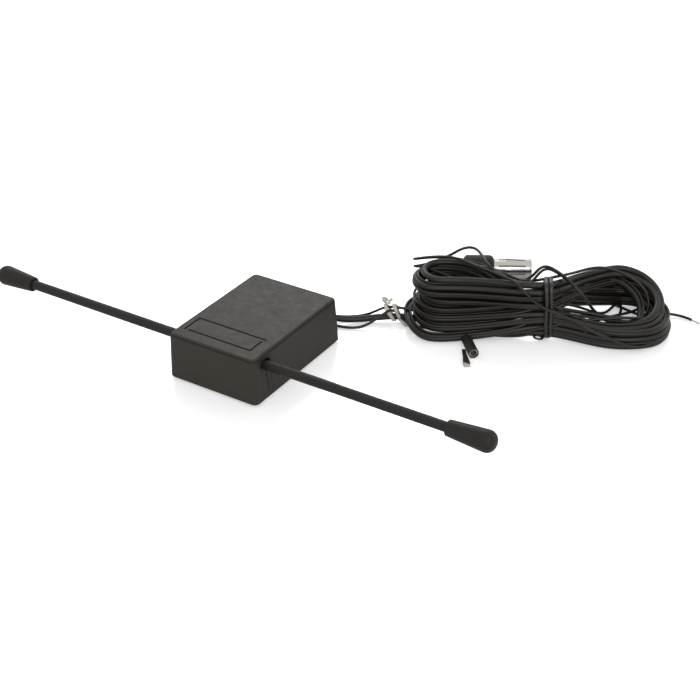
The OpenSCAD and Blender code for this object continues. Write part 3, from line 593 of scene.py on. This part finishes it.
TAIL_ROUTE = [
    (0.0516, 0.0853, 0.0095), (0.047, 0.0859, 0.0076), (0.0424, 0.0864, 0.005),
    (0.0387, 0.0873, 0.0028), (0.0355, 0.0897, 0.0018), (0.0344, 0.094, 0.0026),
    (0.035, 0.0995, 0.0048), (0.0378, 0.1037, 0.0065), (0.0419, 0.1066, 0.0068),
    (0.0471, 0.1096, 0.0068), (0.0523, 0.1126, 0.0068),
]
END_ROUTE = [
    (0.1399, 0.1275, 0.0012), (0.142, 0.1285, 0.001), (0.1446, 0.1294, 0.0008),
    (0.148, 0.1297, 0.0007), (0.1516, 0.1289, 0.0007),
]
BARE_ROUTE = [(0.1516, 0.1289, 0.0007), (0.1536, 0.1283, 0.0006), (0.1559, 0.1277, 0.0005)]


def from_hank(point, angle):
    """Turn a point of the hank's own frame, in millimetres, into the object's."""
    u, v, z = point
    c, s = math.cos(angle), math.sin(angle)
    return Vector((u * c - v * s, u * s + v * c, z)) * MM


# Left ends of the turns, from the lowest up: where each turn ends and where its near
# strand runs, both in millimetres
LEFT_END = [68, 72, 72, 73.4, 75.2, 73, 71.8, 75.6]
LEFT_NEAR = [10.5, 13.4, 16.4, 18.2, 19.8, 21, 22, 23.4]
# Column and layer of each turn's near strand in the right half
NEAR_PLACE = [(0, 0), (0, 1), (0, 2), (1, 2), (1, 0), (1, 1), (2, 0), (2, 2), (2, 1)]
# Where each turn ends at the right
RIGHT_END = [184.8, 184.4, 184, 182, 177.5, 181.8, 173.5, 180.6, 182.6]
# Turns that cross over at the waist, so that they run as a figure of eight
CROSSED = (5, 6, 7, 8)
WAIST = 130


def near_slot(k):
    """Where the strand to turn k's near side passes under the band, across and up."""
    if k < 4:
        return 11.2, 3.3 + 3.27 * k
    return 14.5, 16.3 if k == 4 else 3.3 + 3.25 * (k - 5)


def far_slot(k):
    """Where the strand to turn k's far side passes under the band: in the upper half."""
    if k == 8:
        return 13.3, 26
    if k > 4:
        return 11.2, 16.6 + 3.35 * (k - 5)
    return (14.5, 18 + 1.63 * k) if k % 2 else (17.8, 14.6 + 1.65 * k)


def left_half(k):
    """Turn k's left half: from the waist along the far side, round the end and back."""
    near, far, z = LEFT_NEAR[k], 43.4 - 0.4 * k, 1.6 + 3.25 * k
    v_in, z_in = near_slot(k) if k in CROSSED else far_slot(k)
    v_out, z_out = far_slot(k + 1) if k + 1 in CROSSED else near_slot(k + 1)
    middle, half = (near + far) / 2, (far - near) / 2
    bend = min(half, 11.5)
    centre = LEFT_END[k] + bend
    lift = 3.0 if k == 0 else 0.0
    points = [
        (WAIST - 8, v_in + 1, z_in + (z - z_in) * 0.25),
        (WAIST - 18, v_in + (far - v_in) * 0.3, z_in + (z - z_in) * 0.75),
        (WAIST - 29, far - 5, z),
        (centre + 7, far, z),
    ]
    for degrees in (75, 50, 25, 0, -25, -50, -75):
        a = math.radians(degrees)
        rise = lift * math.cos(a - math.radians(15))
        points.append((
            centre - bend * 1.04 * math.cos(a), middle + half * 1.04 * math.sin(a),
            z + max(0.0, rise),
        ))
    points += [
        (centre + 9, near, z),
        (WAIST - 22, near + (v_out - near) * 0.45, z_out + (z - z_out) * 0.55),
        (WAIST - 11, near + (v_out - near) * 0.85, z_out + (z - z_out) * 0.15),
    ]
    return points


def right_half(k):
    """Turn k's right half: from the waist along the near side, round the end and back."""
    column, layer = NEAR_PLACE[k]
    near, far = 0.7 + 3.0 * column + 0.3 * layer, 40.2 + 0.55 * k - 1.8 * (k % 2)
    z_near, z_far = 1.6 + 3.05 * layer + 0.3 * column, 1.6 + 1.94 * k
    v_in, z_in = near_slot(k)
    v_out, z_out = far_slot(k)
    middle, half, bend = (near + far) / 2, (far - near) / 2, 17
    centre = RIGHT_END[k] - bend
    to_near, to_far = centre - 9 - WAIST, centre - 2 - WAIST
    points = [
        (WAIST, v_in, z_in),
        (WAIST + to_near * 0.31, v_in + (near - v_in) * 0.28, z_in + (z_near - z_in) * 0.35),
        (WAIST + to_near * 0.65, v_in + (near - v_in) * 0.68, z_in + (z_near - z_in) * 0.75),
        (centre - 9, near, z_near),
    ]
    for degrees in (-70, -45, -20, 5, 30, 55, 80):
        a = math.radians(degrees)
        points.append((
            centre + bend * 1.03 * math.cos(a), middle + half * 1.03 * math.sin(a),
            z_near + (z_far - z_near) * (math.sin(a) + 1) / 2,
        ))
    points += [
        (centre - 2, far, z_far),
        (WAIST + to_far * 0.63, v_out + (far - v_out) * 0.72, z_out + (z_far - z_out) * 0.72),
        (WAIST + to_far * 0.3, v_out + (far - v_out) * 0.32, z_out + (z_far - z_out) * 0.3),
        (WAIST, v_out, z_out),
    ]
    return points[::-1] if k in CROSSED else points


def grooved(points, side, rise):
    """Shift a half turn to the groove beside its strand, outwards and up."""
    left = sum(p[0] for p in points) / len(points) < WAIST
    ends = [p[0] for p in points]
    stop = min(ends) + 12 if left else max(ends) - 17
    middle = (min(p[1] for p in points) + max(p[1] for p in points)) / 2
    moved = []
    for u, v, z in points:
        spine = max(u, stop) if left else min(u, stop)
        away = Vector((u - spine, v - middle))
        if away.length < 0.5:
            away = Vector((0, -1))
        away.normalize()
        moved.append((u + away.x * side, v + away.y * side, z + rise))
    return moved


def shifted(points, by):
    """A copy of a stretch, moved as a whole."""
    return [tuple(a + b for a, b in zip(p, by)) for p in points]


# The coaxial lead between the box and its first turn, and from its last to the plug
COAX_IN = [(77, 27.5, 1.6), (88, 24.5, 1.6), (100, 20, 1.6), (110, 15.6, 2), (120, 12, 3)]
COAX_OUT = [(122, 16.5, 17), (113, 24, 23), (104, 32, 26), (96.5, 39.5, 21), (92, 43, 14)]


def coax_route(lead):
    """The whole coaxial lead: from the box, through every turn, to the plug."""
    hank = list(COAX_IN)
    for k in range(lead.turns):
        hank += right_half(k) + left_half(k)
    hank += right_half(lead.turns) + COAX_OUT
    points = [Vector(p) for p in COAX_ROUTE]
    points += [from_hank(p, lead.hank_turn) for p in hank]
    points += [Vector(p) for p in TAIL_ROUTE]
    return points


# Where the thin wires leave the turns: a loose arch over the pile, a diagonal across its
# near side, and short cuts through the right lobe
SUPPLY_IN = [(77, 28.5, 4.8), (88, 25.5, 4.4), (100, 21, 4), (110, 16.6, 4.2), (120, 12.6, 5)]
GROUND_IN = [(76, 21.4, 0.8), (86, 17.6, 0.8), (98, 15, 0.9), (110, 12.4, 1.2), (120, 10.4, 2)]
TIP_OUT = [(120, 27, 20), (112, 34, 21.6), (102, 41, 22.8), (92, 46, 23.4), (84, 48, 23),
           (77.6, 48, 22.8), (73, 46.8, 23), (71, 44.2, 24.2), (72.8, 41.8, 25.8),
           (78.4, 40.8, 27)]
DIAGONAL = [(84.6, 40.4, 27.4), (89.9, 38.6, 27.6), (94.5, 33.9, 28), (98.6, 29.1, 28.2),
            (104.3, 24.2, 28.2), (109.5, 18.5, 28.4), (112.7, 15.3, 28.6), (114.9, 11.6, 28.5),
            (116.5, 9.2, 27.2), (119.1, 8.4, 24.8), (122.4, 8.2, 21.1), (125.6, 8, 18.6),
            (130, 7.4, 16.6), (135.7, 6.2, 14.3), (140.8, 4, 13), (145.5, 1.2, 10.8),
            (150, -0.6, 9.2), (156.3, -1.4, 6.7), (160.6, -1.6, 4.5), (165, -1.8, 3),
            (170, -1.7, 2.6), (176.3, 3, 2.8), (181.4, 10.6, 2.8), (184, 17, 2.2),
            (184.6, 22, 1.6), (184.9, 26.2, 1.2)]
ARCH = [(78, 38.4, 23.4), (73.4, 38.8, 23.2), (71, 41.2, 22.2), (72.8, 43.8, 20.8),
        (78, 45.6, 20.8), (84, 46.6, 22.6), (89.1, 46.2, 25.2), (92.4, 46.4, 27.4),
        (96.4, 47.4, 28.3), (99.8, 46.4, 28.3), (101.6, 42, 28.2), (102.6, 37, 28.2),
        (104, 30.4, 28.1), (106.5, 27, 26.6), (110, 26, 24), (116, 27.4, 20)]
OVER_TIE = [(121.6, 27.4, 21.4), (124.3, 26.4, 24.4), (125.6, 25.6, 27), (127.4, 26.4, 28.3),
            (130, 27.6, 28.4), (132.7, 24.4, 28.4), (135.1, 20.6, 28.3), (138.1, 16.4, 27.4),
            (141.4, 14.1, 24.6), (144.8, 12.7, 21), (149.3, 14, 13.5), (154, 17.8, 7.6),
            (158.2, 19.4, 4.2), (163, 19.6, 2.8)]
RIGHT_BACK = [(171, 18, 3), (176.4, 21, 6), (177.6, 26, 10), (176, 27.4, 14.4),
              (172.5, 29.6, 18), (167.3, 32, 20.6), (161.9, 35.2, 21.6), (156.5, 36.4, 22.4),
              (150.5, 33.8, 23.2), (144.7, 29.1, 24.2), (138.9, 24.4, 25.4), (130, 19.4, 26.6)]
SHORT_CUTS = [
    [(WAIST, 14, 13), (140, 15, 12), (148, 17.5, 9), (156, 20, 5), (162.6, 22.3, 2.4),
     (166.3, 30.3, 1.5), (168.1, 37.6, 1.5), (165, 42.4, 3), (158, 41.5, 6), (149, 34, 10),
     (139.5, 24.5, 14), (WAIST, 16, 17)],
    [(WAIST, 14, 17), (139, 18, 14), (147, 22.6, 9), (154, 26, 4), (159.3, 29.6, 1.6),
     (163.8, 36.8, 1.4), (169.5, 41.4, 3), (176, 40, 5.6), (181, 33, 6.4), (182.4, 24, 6.2),
     (179, 14.6, 8), (170, 8.6, 9.4), (156, 8.4, 10.4), (143, 10.6, 12.6), (WAIST, 9, 14.6)],
    [(WAIST, 19.6, 9.6), (140, 25.6, 9), (149, 34, 6.4), (157, 38.8, 3), (163.7, 38.7, 1.6),
     (168.8, 33.8, 1.5), (172.5, 29.1, 1.7), (176.4, 22, 4), (176, 14.6, 7.6),
     (168, 9.4, 11), (156, 8.6, 12.2), (143, 10.8, 14.4), (WAIST, 9, 17.8)],
    [(WAIST, 9, 4.8), (141, 9.6, 4.6), (150, 19, 2.6), (157.5, 26.4, 1.2), (165.7, 29.2, 1.2),
     (171.5, 31, 1.4), (177.5, 33.6, 2.6), (180, 38, 4), (175, 42.6, 5), (164, 43.6, 5.2),
     (150, 36.6, 7.4), (139.5, 25.8, 8.4), (WAIST, 19.8, 8)],
]


def supply_route(lead):
    """The supply wire: from the box, through the turns, to its bare end."""
    hank = list(SUPPLY_IN)
    for k in range(lead.turns - 1):
        right = SHORT_CUTS[k // 2] if k in (1, 3) else grooved(right_half(k), 1.2, 1.8)
        side = 1.2 if k < 3 else (2.4 if k < 6 else -1.2)
        hank += right + grooved(left_half(k), side, 1.8)
    hank += shifted(OVER_TIE[1:], (0.9, -0.6, -1)) + RIGHT_BACK + TIP_OUT + DIAGONAL
    points = [Vector(p) for p in SUPPLY_ROUTE]
    points += [from_hank(p, lead.hank_turn) for p in hank]
    points += [Vector(p) for p in END_ROUTE]
    return points


def ground_route(lead):
    """The ground wire: from the box, through the turns and the arch, to the lead's end."""
    hank = list(GROUND_IN)
    for k in range(lead.turns - 2):
        right = SHORT_CUTS[1 + k // 2] if k in (2, 4) else grooved(right_half(k), -1.3, 1.7)
        hank += right + grooved(left_half(k), -1.3, 1.7)
    hank += grooved(right_half(6), 1.2, 1.8) + ARCH + OVER_TIE
    hank += [(170, 14, 7), (171, 10.4, 10.4), (162, 7.4, 12.4), (146, 8, 11.6),
             (WAIST, 8.8, 8), (118, 9.4, 4.4), (108, 11, 2.8), (100, 14.4, 2.4),
             (95.4, 17, 2.3), (92.6, 16.8, 2.3)]
    points = [Vector(p) for p in GROUND_ROUTE]
    points += [from_hank(p, lead.hank_turn) for p in hank]
    rear, heading = end_axis()
    points += [rear + heading * by for by in (-END_STRAIGHT, 0, END_STRAIGHT)]
    return points


# From the middle of the lead end's sleeve to its rear face, and the wire's straight
# stretch on either side of that face
SLEEVE_REAR = 6.5 * MM
END_STRAIGHT = 4 * MM


def end_axis():
    """The lead end's sleeve: the middle of its rear face and its heading."""
    low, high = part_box("end_socket")
    rear_low, rear_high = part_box("end_sleeve")
    heading = (low + high) - (rear_low + rear_high)
    heading.z = 0
    heading.normalize()
    middle = (rear_low + rear_high) / 2
    return middle - heading * SLEEVE_REAR, heading


# Each lamp's name, place and width in metres, and its power in watts
LAMPS = (("key", (-0.56, 0.8, 0.68), 0.3, 1.6), ("fill", (0.7, -0.6, 0.6), 0.9, 4.0))
LAMP_AIM = (0.05, 0.04, 0)
# Strength of the plain surround: as it lights matt surfaces, and as it is seen
SKY_LIGHT = 0.84
SKY_SEEN = 1.0
# The floor: how white it is for light that bounces off it, the shares of mirror and of
# glow that the camera sees, and its height, just below the object
FLOOR_UNSEEN = 0.9
FLOOR_MIRROR = 0.3
FLOOR_GLOW = 0.42
FLOOR_Z = -0.2 * MM


class AERIAL_OT_stage(bpy.types.Operator):
    """Set up the camera, the light and the floor"""

    bl_idname = "aerial.stage"
    bl_label = "Stage"

    def execute(self, context):
        stage = context.scene.aerial_stage
        context.scene.view_settings.view_transform = "Standard"
        self.camera(context, stage)
        self.light(context)
        self.floor(context)
        return {"FINISHED"}

    def camera(self, context, stage):
        data = bpy.data.cameras.new("camera")
        data.lens = stage.lens
        eye = bpy.data.objects.new("camera", data)
        turned = (
            Matrix.Rotation(stage.yaw, 4, "Z")
            @ Matrix.Rotation(math.pi / 2 - stage.pitch, 4, "X")
            @ Matrix.Rotation(stage.roll, 4, "Z")
        )
        eye.matrix_world = Matrix.Translation(
            (stage.camera_x, stage.camera_y, stage.camera_z)) @ turned
        context.collection.objects.link(eye)
        context.scene.camera = eye

    def light(self, context):
        world = bpy.data.worlds.new("studio")
        world.use_nodes = True
        tree = world.node_tree
        tree.nodes.clear()
        rays = add_node(tree, "LightPath").outputs
        seen = add_node(tree, "Math", rays["Is Camera Ray"], rays["Is Glossy Ray"],
                        operation="MAXIMUM")
        strength = add_node(tree, "MapRange", Value=seen, To_Min=SKY_LIGHT, To_Max=SKY_SEEN)
        glow = add_node(tree, "Background", Color=(1, 1, 1), Strength=strength)
        add_node(tree, "OutputWorld", glow)
        context.scene.world = world
        for name, where, width, power in LAMPS:
            data = bpy.data.lights.new(name, "AREA")
            data.size = width
            data.energy = power
            lamp = bpy.data.objects.new(name, data)
            lamp.location = where
            aim = Vector(LAMP_AIM) - Vector(where)
            lamp.rotation_euler = aim.to_track_quat("-Z", "Y").to_euler()
            context.collection.objects.link(lamp)

    def floor(self, context):
        made, tree = new_material("glossy_white_floor")
        seen = add_node(tree, "LightPath").outputs["Is Camera Ray"]
        white = context.scene.aerial_finishes.floor
        tint = add_node(tree, "Mix", data_type="RGBA", Factor=seen,
                        A=shade(white, FLOOR_UNSEEN), B=white)
        rough = add_node(tree, "MapRange", Value=seen, To_Min=0.6, To_Max=0.5)
        matt = add_node(tree, "BsdfPrincipled", Base_Color=tint, Roughness=rough)
        mirror = add_node(tree, "BsdfAnisotropic", Color=(1, 1, 1), Roughness=0.24,
                          Anisotropy=0)
        part = add_node(tree, "MapRange", Value=seen, To_Min=0, To_Max=FLOOR_MIRROR)
        both = add_node(tree, "MixShader", part, matt, mirror)
        strength = add_node(tree, "MapRange", Value=seen, To_Min=0, To_Max=FLOOR_GLOW)
        glow = add_node(tree, "Emission", Color=(1, 1, 1), Strength=strength)
        add_node(tree, "OutputMaterial", add_node(tree, "AddShader", both, glow))
        bm = bmesh.new()
        bmesh.ops.create_grid(bm, x_segments=1, y_segments=1, size=4)
        mesh = bpy.data.meshes.new("floor")
        bm.to_mesh(mesh)
        bm.free()
        mesh.materials.append(made)
        ground = bpy.data.objects.new("floor", mesh)
        ground.location.z = FLOOR_Z
        context.collection.objects.link(ground)


# Distance between rings along the coaxial lead and the thin wires, and a wire's sides
COAX_STEP = 1.4 * MM
WIRE_STEP = 1.1 * MM
WIRE_SIDES = 8
# The supply wire's bare strands: radius, twist's length and distance from the middle one
STRAND_R = 0.12 * MM
STRAND_TWIST = 4 * MM
STRAND_APART = 0.24 * MM
STRAND_STEP = 0.25 * MM


class AERIAL_OT_coax(bpy.types.Operator):
    """Wind the coaxial lead from the box through the hank to the plug"""

    bl_idname = "aerial.coax"
    bl_label = "Coaxial lead"

    def execute(self, context):
        lead = context.scene.aerial_lead
        path = smooth_path(coax_route(lead), COAX_STEP)
        bm = bmesh.new()
        tube(bm, path, lead.coax_d / 2, lead.coax_sides)
        piece = finished(bm, "coaxial_lead", "jacket")
        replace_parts(piece, "coax_lead", "coax_tail", "cable_hank")
        return {"FINISHED"}


class AERIAL_OT_thin_wires(bpy.types.Operator):
    """Wind the supply wire and the ground wire in with the coaxial lead"""

    bl_idname = "aerial.thin_wires"
    bl_label = "Thin wires"

    def execute(self, context):
        lead = context.scene.aerial_lead
        self.supply(lead)
        self.ground(lead)
        return {"FINISHED"}

    def supply(self, lead):
        path = smooth_path(supply_route(lead), WIRE_STEP)
        bm = bmesh.new()
        tube(bm, path, lead.wire_d / 2, WIRE_SIDES)
        piece = finished(bm, "supply_lead", "jacket")
        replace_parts(piece, "supply_wire", "supply_wire_end")
        strands = self.bare_strands()

    def bare_strands(self):
        """Seven tinned strands, twisted, out of the supply wire's cut end."""
        middle = smooth_path([Vector(p) for p in BARE_ROUTE], STRAND_STEP)
        heading = (middle[-1] - middle[0]).normalized()
        side = heading.cross(Vector((0, 0, 1))).normalized()
        up = side.cross(heading)
        bm = bmesh.new()
        tube(bm, middle, STRAND_R, 6)
        for k in range(6):
            path = []
            for i, p in enumerate(middle):
                a = 2 * math.pi * (k / 6 + i * STRAND_STEP / STRAND_TWIST)
                spread = STRAND_APART * (1 + 0.25 * (i / len(middle)) ** 3)
                path.append(p + (side * math.cos(a) + up * math.sin(a)) * spread)
            tube(bm, path, STRAND_R, 6)
        piece = finished(bm, "bare_strands", "tinned")
        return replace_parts(piece, "bare_wire_end")

    def ground(self, lead):
        path = smooth_path(ground_route(lead), WIRE_STEP)
        bm = bmesh.new()
        tube(bm, path, lead.wire_d / 2, WIRE_SIDES)
        piece = finished(bm, "ground_lead", "jacket")
        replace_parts(piece, "ground_wire")


# The band's loop in the hank's frame, in millimetres: middle, half its width and half its
# height, how far the strands lie left of the waist, and half the distance between them
BAND_V, BAND_Z = 14.5, 14.4
BAND_HALF_V, BAND_HALF_Z = 5.8, 13.2
BAND_LEFT = 0.7
BAND_APART = 1.02
# Radius of the thin ring at the band's foot, in metres
FOOT_R = 0.5 * MM


class AERIAL_OT_band(bpy.types.Operator):
    """Lay the shiny band of two strands round the hank's waist"""

    bl_idname = "aerial.band"
    bl_label = "Band"

    def execute(self, context):
        lead = context.scene.aerial_lead
        bm = bmesh.new()
        for k in (-1, 1):
            tube(bm, self.loop(lead, k), lead.band_d / 2, 12, closed=True)
        foot = [
            from_hank((WAIST - 4.6 + 1.9 * math.cos(a), 9.3 - 1.5 * math.sin(a),
                       1.5 + 0.9 * math.sin(a * 0.5)), lead.hank_turn)
            for a in (2 * math.pi * i / 28 for i in range(28))
        ]
        tube(bm, foot, FOOT_R, 8, closed=True)
        piece = finished(bm, "band", "band")
        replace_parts(piece, "hank_tie")
        return {"FINISHED"}

    def loop(self, lead, k):
        """One strand: a rounded loop round the pile, a little lower on its near side."""
        path = []
        for i in range(96):
            a = 2 * math.pi * i / 96
            c, s = math.cos(a), math.sin(a)
            v = BAND_V + BAND_HALF_V * math.copysign(abs(c) ** 0.55, c)
            z = BAND_Z + BAND_HALF_Z * math.copysign(abs(s) ** 0.42, s)
            sway = 0.5 * math.sin(a * 2) - 1.4 * max(0.0, -s) ** 6 * max(0.0, -c + 0.4)
            u = WAIST - BAND_LEFT + k * BAND_APART + sway
            path.append(from_hank((u, v, z), lead.hank_turn))
        return path


# The clear strip, in millimetres along the hank, across it and up, from its middle: each
# turn's shift, lean and share of the strip's width, then the tails and loops of its knot
# with their widths
STRIP_TURNS = ((-1.9, 2.1, 0.62), (1.7, 1.7, 0.56))
STRIP_TAILS = (
    ([(2.6, -2.6, -2.4), (3.8, -3.8, -3.2), (5, -4.6, -4), (6, -5, -4.4)], 1.5),
    ([(-3.4, 1, 4.2), (-4.6, 0.4, 6), (-5.4, 1.4, 7.4), (-4, 2.2, 7), (-2.8, 1.8, 5)], 1.4),
    ([(-2.6, 1, 4), (-1.6, 1.4, 5.8), (-0.6, 1.6, 6.4)], 1.3),
)
FILM = 0.16 * MM
# A turn's half width across the bundle and how much that wavers, the gap that it leaves
# at the top and bottom of its place, and the depth of its creases
TURN_HALF = 2.4 * MM
TURN_WAVER = 0.3 * MM
TURN_GAP = 0.4 * MM
CREASE = 0.4 * MM


class AERIAL_OT_strip(bpy.types.Operator):
    """Wrap the clear strip round the wires beside the hank"""

    bl_idname = "aerial.strip"
    bl_label = "Clear strip"

    def execute(self, context):
        lead = context.scene.aerial_lead
        bm = bmesh.new()
        low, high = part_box("wire_tie")
        middle = (low + high) / 2
        along = Vector((math.cos(lead.hank_turn), math.sin(lead.hank_turn), 0))
        across = Vector((-along.y, along.x, 0))
        rng = random.Random(4)
        for shift, lean, share in STRIP_TURNS:
            self.wrap(bm, middle + along * shift * MM, along, across, lean * MM,
                      lead.strip_w * share, rng)
        for points, width in STRIP_TAILS:
            path = smooth_path(
                [middle + (along * p[0] + across * p[1] + Vector((0, 0, p[2]))) * MM
                 for p in points], 0.0004)
            self.ribbon(bm, path, width * MM, along, rng)
        piece = finished(bm, "clear_strip", "strip")
        solid = piece.modifiers.new("film", "SOLIDIFY")
        solid.thickness = FILM
        solid.offset = 0
        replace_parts(piece, "wire_tie")
        return {"FINISHED"}

    def wrap(self, bm, middle, along, across, lean, width, rng):
        """One turn of film round the bundle, leaning towards the hank at its foot."""
        path = []
        low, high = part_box("wire_tie")
        tall = (high.z - low.z) / 2 - TURN_GAP
        for i in range(40):
            a = 2 * math.pi * i / 39
            wide = TURN_HALF + TURN_WAVER * math.sin(a * 3 + width * 4 / MM)
            path.append(middle + across * math.cos(a) * wide
                        + Vector((0, 0, math.sin(a) * tall)) - along * math.sin(a) * lean)
        self.ribbon(bm, path, width, along, rng)

    def ribbon(self, bm, path, width, along, rng):
        """A creased strip of film that follows a path."""
        cells = 6
        shift = Vector((rng.uniform(0, 9), rng.uniform(0, 9), 0))
        rows = []
        for i, p in enumerate(path):
            ahead = path[min(i + 1, len(path) - 1)] - path[max(i - 1, 0)]
            side = (along - ahead * along.dot(ahead) / max(ahead.length_squared, 1e-12))
            side.normalize()
            face_out = ahead.cross(side).normalized()
            row = []
            for j in range(cells + 1):
                t = j / cells - 0.5
                crease = noise.noise(Vector((i * 0.35, j * 0.9, 0)) + shift) * CREASE
                pinch = 1 + 0.35 * noise.noise(Vector((i * 0.2, 3, 0)) + shift)
                row.append(bm.verts.new(p + side * t * width * pinch + face_out * crease))
            rows.append(row)
        for row, following in zip(rows, rows[1:]):
            for j in range(cells):
                bm.faces.new((row[j], row[j + 1], following[j + 1], following[j]))


class AERIAL_OT_housing(bpy.types.Operator):
    """Finish the amplifier box and what is inside it"""

    bl_idname = "aerial.housing"
    bl_label = "Amplifier box"

    def execute(self, context):
        dress(
            "cover", "base_plate", "adhesive_pad", "terminal_left", "terminal_right",
            "terminal_screws", "circuit_board", "ferrite_core", "core_windings",
            "transistors", "electrolytic_capacitor", "ceramic_capacitors", "resistors",
            "board_screws", "case_screws", "cable_clamp", "clamp_screws",
        )
        return {"FINISHED"}


# How far the edges of a cap's mouth are rounded, outside and at its bore, and how near
# an edge lies to a ring that it belongs to
LIP_ROUND = 0.4 * MM
BORE_ROUND = 0.3 * MM
NEAR = 0.01 * MM


class AERIAL_OT_rods(bpy.types.Operator):
    """Finish the rods, their sheaths and their caps"""

    bl_idname = "aerial.rods"
    bl_label = "Rods"

    def execute(self, context):
        dress("sheath_left", "sheath_right", "rod_left", "rod_right")
        sizes = context.scene.aerial_caps
        self.cap(sizes, "left_cap", "cap_left", -1)
        self.cap(sizes, "right_cap", "cap_right", 1)
        return {"FINISHED"}

    def cap(self, sizes, name, node, side):
        """A push-on cap: spun about the rod, rounded at its tip, hollow at its mouth."""
        low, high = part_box(node)
        centre = (low + high) / 2
        tip = side * sizes.reach
        mouth = side * (sizes.reach - sizes.length)
        grip = side * (sizes.reach - sizes.length + sizes.grip)
        profile = [
            (tip, 0), (tip, sizes.tip_d / 2), (mouth, sizes.mouth_d / 2),
            (mouth, sizes.bore_d / 2), (grip, sizes.bore_d / 2), (grip, 0),
        ]
        bm = bmesh.new()
        corners = [bm.verts.new((x, centre.y, centre.z + r)) for x, r in profile]
        edges = [bm.edges.new(pair) for pair in zip(corners, corners[1:])]
        bmesh.ops.spin(
            bm, geom=corners + edges, cent=centre, axis=(1, 0, 0), dvec=(0, 0, 0),
            angle=2 * math.pi, steps=56, use_merge=True, use_duplicate=False,
        )
        bmesh.ops.remove_doubles(bm, verts=bm.verts, dist=1e-6)
        bmesh.ops.recalc_face_normals(bm, faces=bm.faces)
        for x, diameter, width, steps in (
            (tip, sizes.tip_d, sizes.tip_round, 8), (mouth, sizes.mouth_d, LIP_ROUND, 3),
            (mouth, sizes.bore_d, BORE_ROUND, 3),
        ):
            ring = [
                edge for edge in bm.edges
                if all(abs(v.co.x - x) < NEAR
                       and abs(math.dist(v.co.yz, centre.yz) - diameter / 2) < NEAR
                       for v in edge.verts)
            ]
            bmesh.ops.bevel(
                bm, geom=ring, offset=width, segments=steps, profile=0.5, affect="EDGES",
                material=-1,
            )
        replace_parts(finished(bm, name, "rubber"), node)


class AERIAL_OT_plug(bpy.types.Operator):
    """Finish the aerial plug"""

    bl_idname = "aerial.plug"
    bl_label = "Aerial plug"

    def execute(self, context):
        dress("plug_body", "plug_sleeve", "plug_insulator", "plug_pin")
        return {"FINISHED"}


class AERIAL_OT_lead_end(bpy.types.Operator):
    """Finish the socket end of the lead"""

    bl_idname = "aerial.lead_end"
    bl_label = "Lead end"

    def execute(self, context):
        dress("end_sleeve", "end_socket", "end_tab")
        return {"FINISHED"}


class AERIAL_PT_panel(bpy.types.Panel):
    """Lists the pieces and their settings"""

    bl_idname = "AERIAL_PT_panel"
    bl_label = "Window aerial"
    bl_space_type = "VIEW_3D"
    bl_region_type = "UI"
    bl_category = "Aerial"

    def draw(self, context):
        column = self.layout.column(align=True)
        for group in GROUPS:
            settings = getattr(context.scene, group)
            for key in settings.bl_rna.properties.keys():
                if key not in ("rna_type", "name"):
                    column.prop(settings, key)
        for operator in STEPS:
            column.operator(operator.bl_idname)


STEPS = (
    AERIAL_OT_stage, AERIAL_OT_coax, AERIAL_OT_thin_wires, AERIAL_OT_band, AERIAL_OT_strip,
    AERIAL_OT_housing, AERIAL_OT_rods, AERIAL_OT_plug, AERIAL_OT_lead_end,
)
GROUPS = {
    "aerial_lead": LeadSizes, "aerial_caps": CapSizes, "aerial_finishes": Finishes,
    "aerial_stage": Stage,
}
CLASSES = (*GROUPS.values(), *STEPS, AERIAL_PT_panel)


def register():
    for cls in CLASSES:
        bpy.utils.register_class(cls)
    for key, group in GROUPS.items():
        setattr(bpy.types.Scene, key, bpy.props.PointerProperty(type=group))


def unregister():
    for key in GROUPS:
        delattr(bpy.types.Scene, key)
    for cls in reversed(CLASSES):
        bpy.utils.unregister_class(cls)


def main():
    """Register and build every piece."""
    register()
    make_materials(bpy.context.scene.aerial_finishes)
    bpy.ops.aerial.stage()
    bpy.ops.aerial.coax()
    bpy.ops.aerial.thin_wires()
    bpy.ops.aerial.band()
    bpy.ops.aerial.strip()
    bpy.ops.aerial.housing()
    bpy.ops.aerial.rods()
    bpy.ops.aerial.plug()
    bpy.ops.aerial.lead_end()


if __name__ == "__main__":
    main()
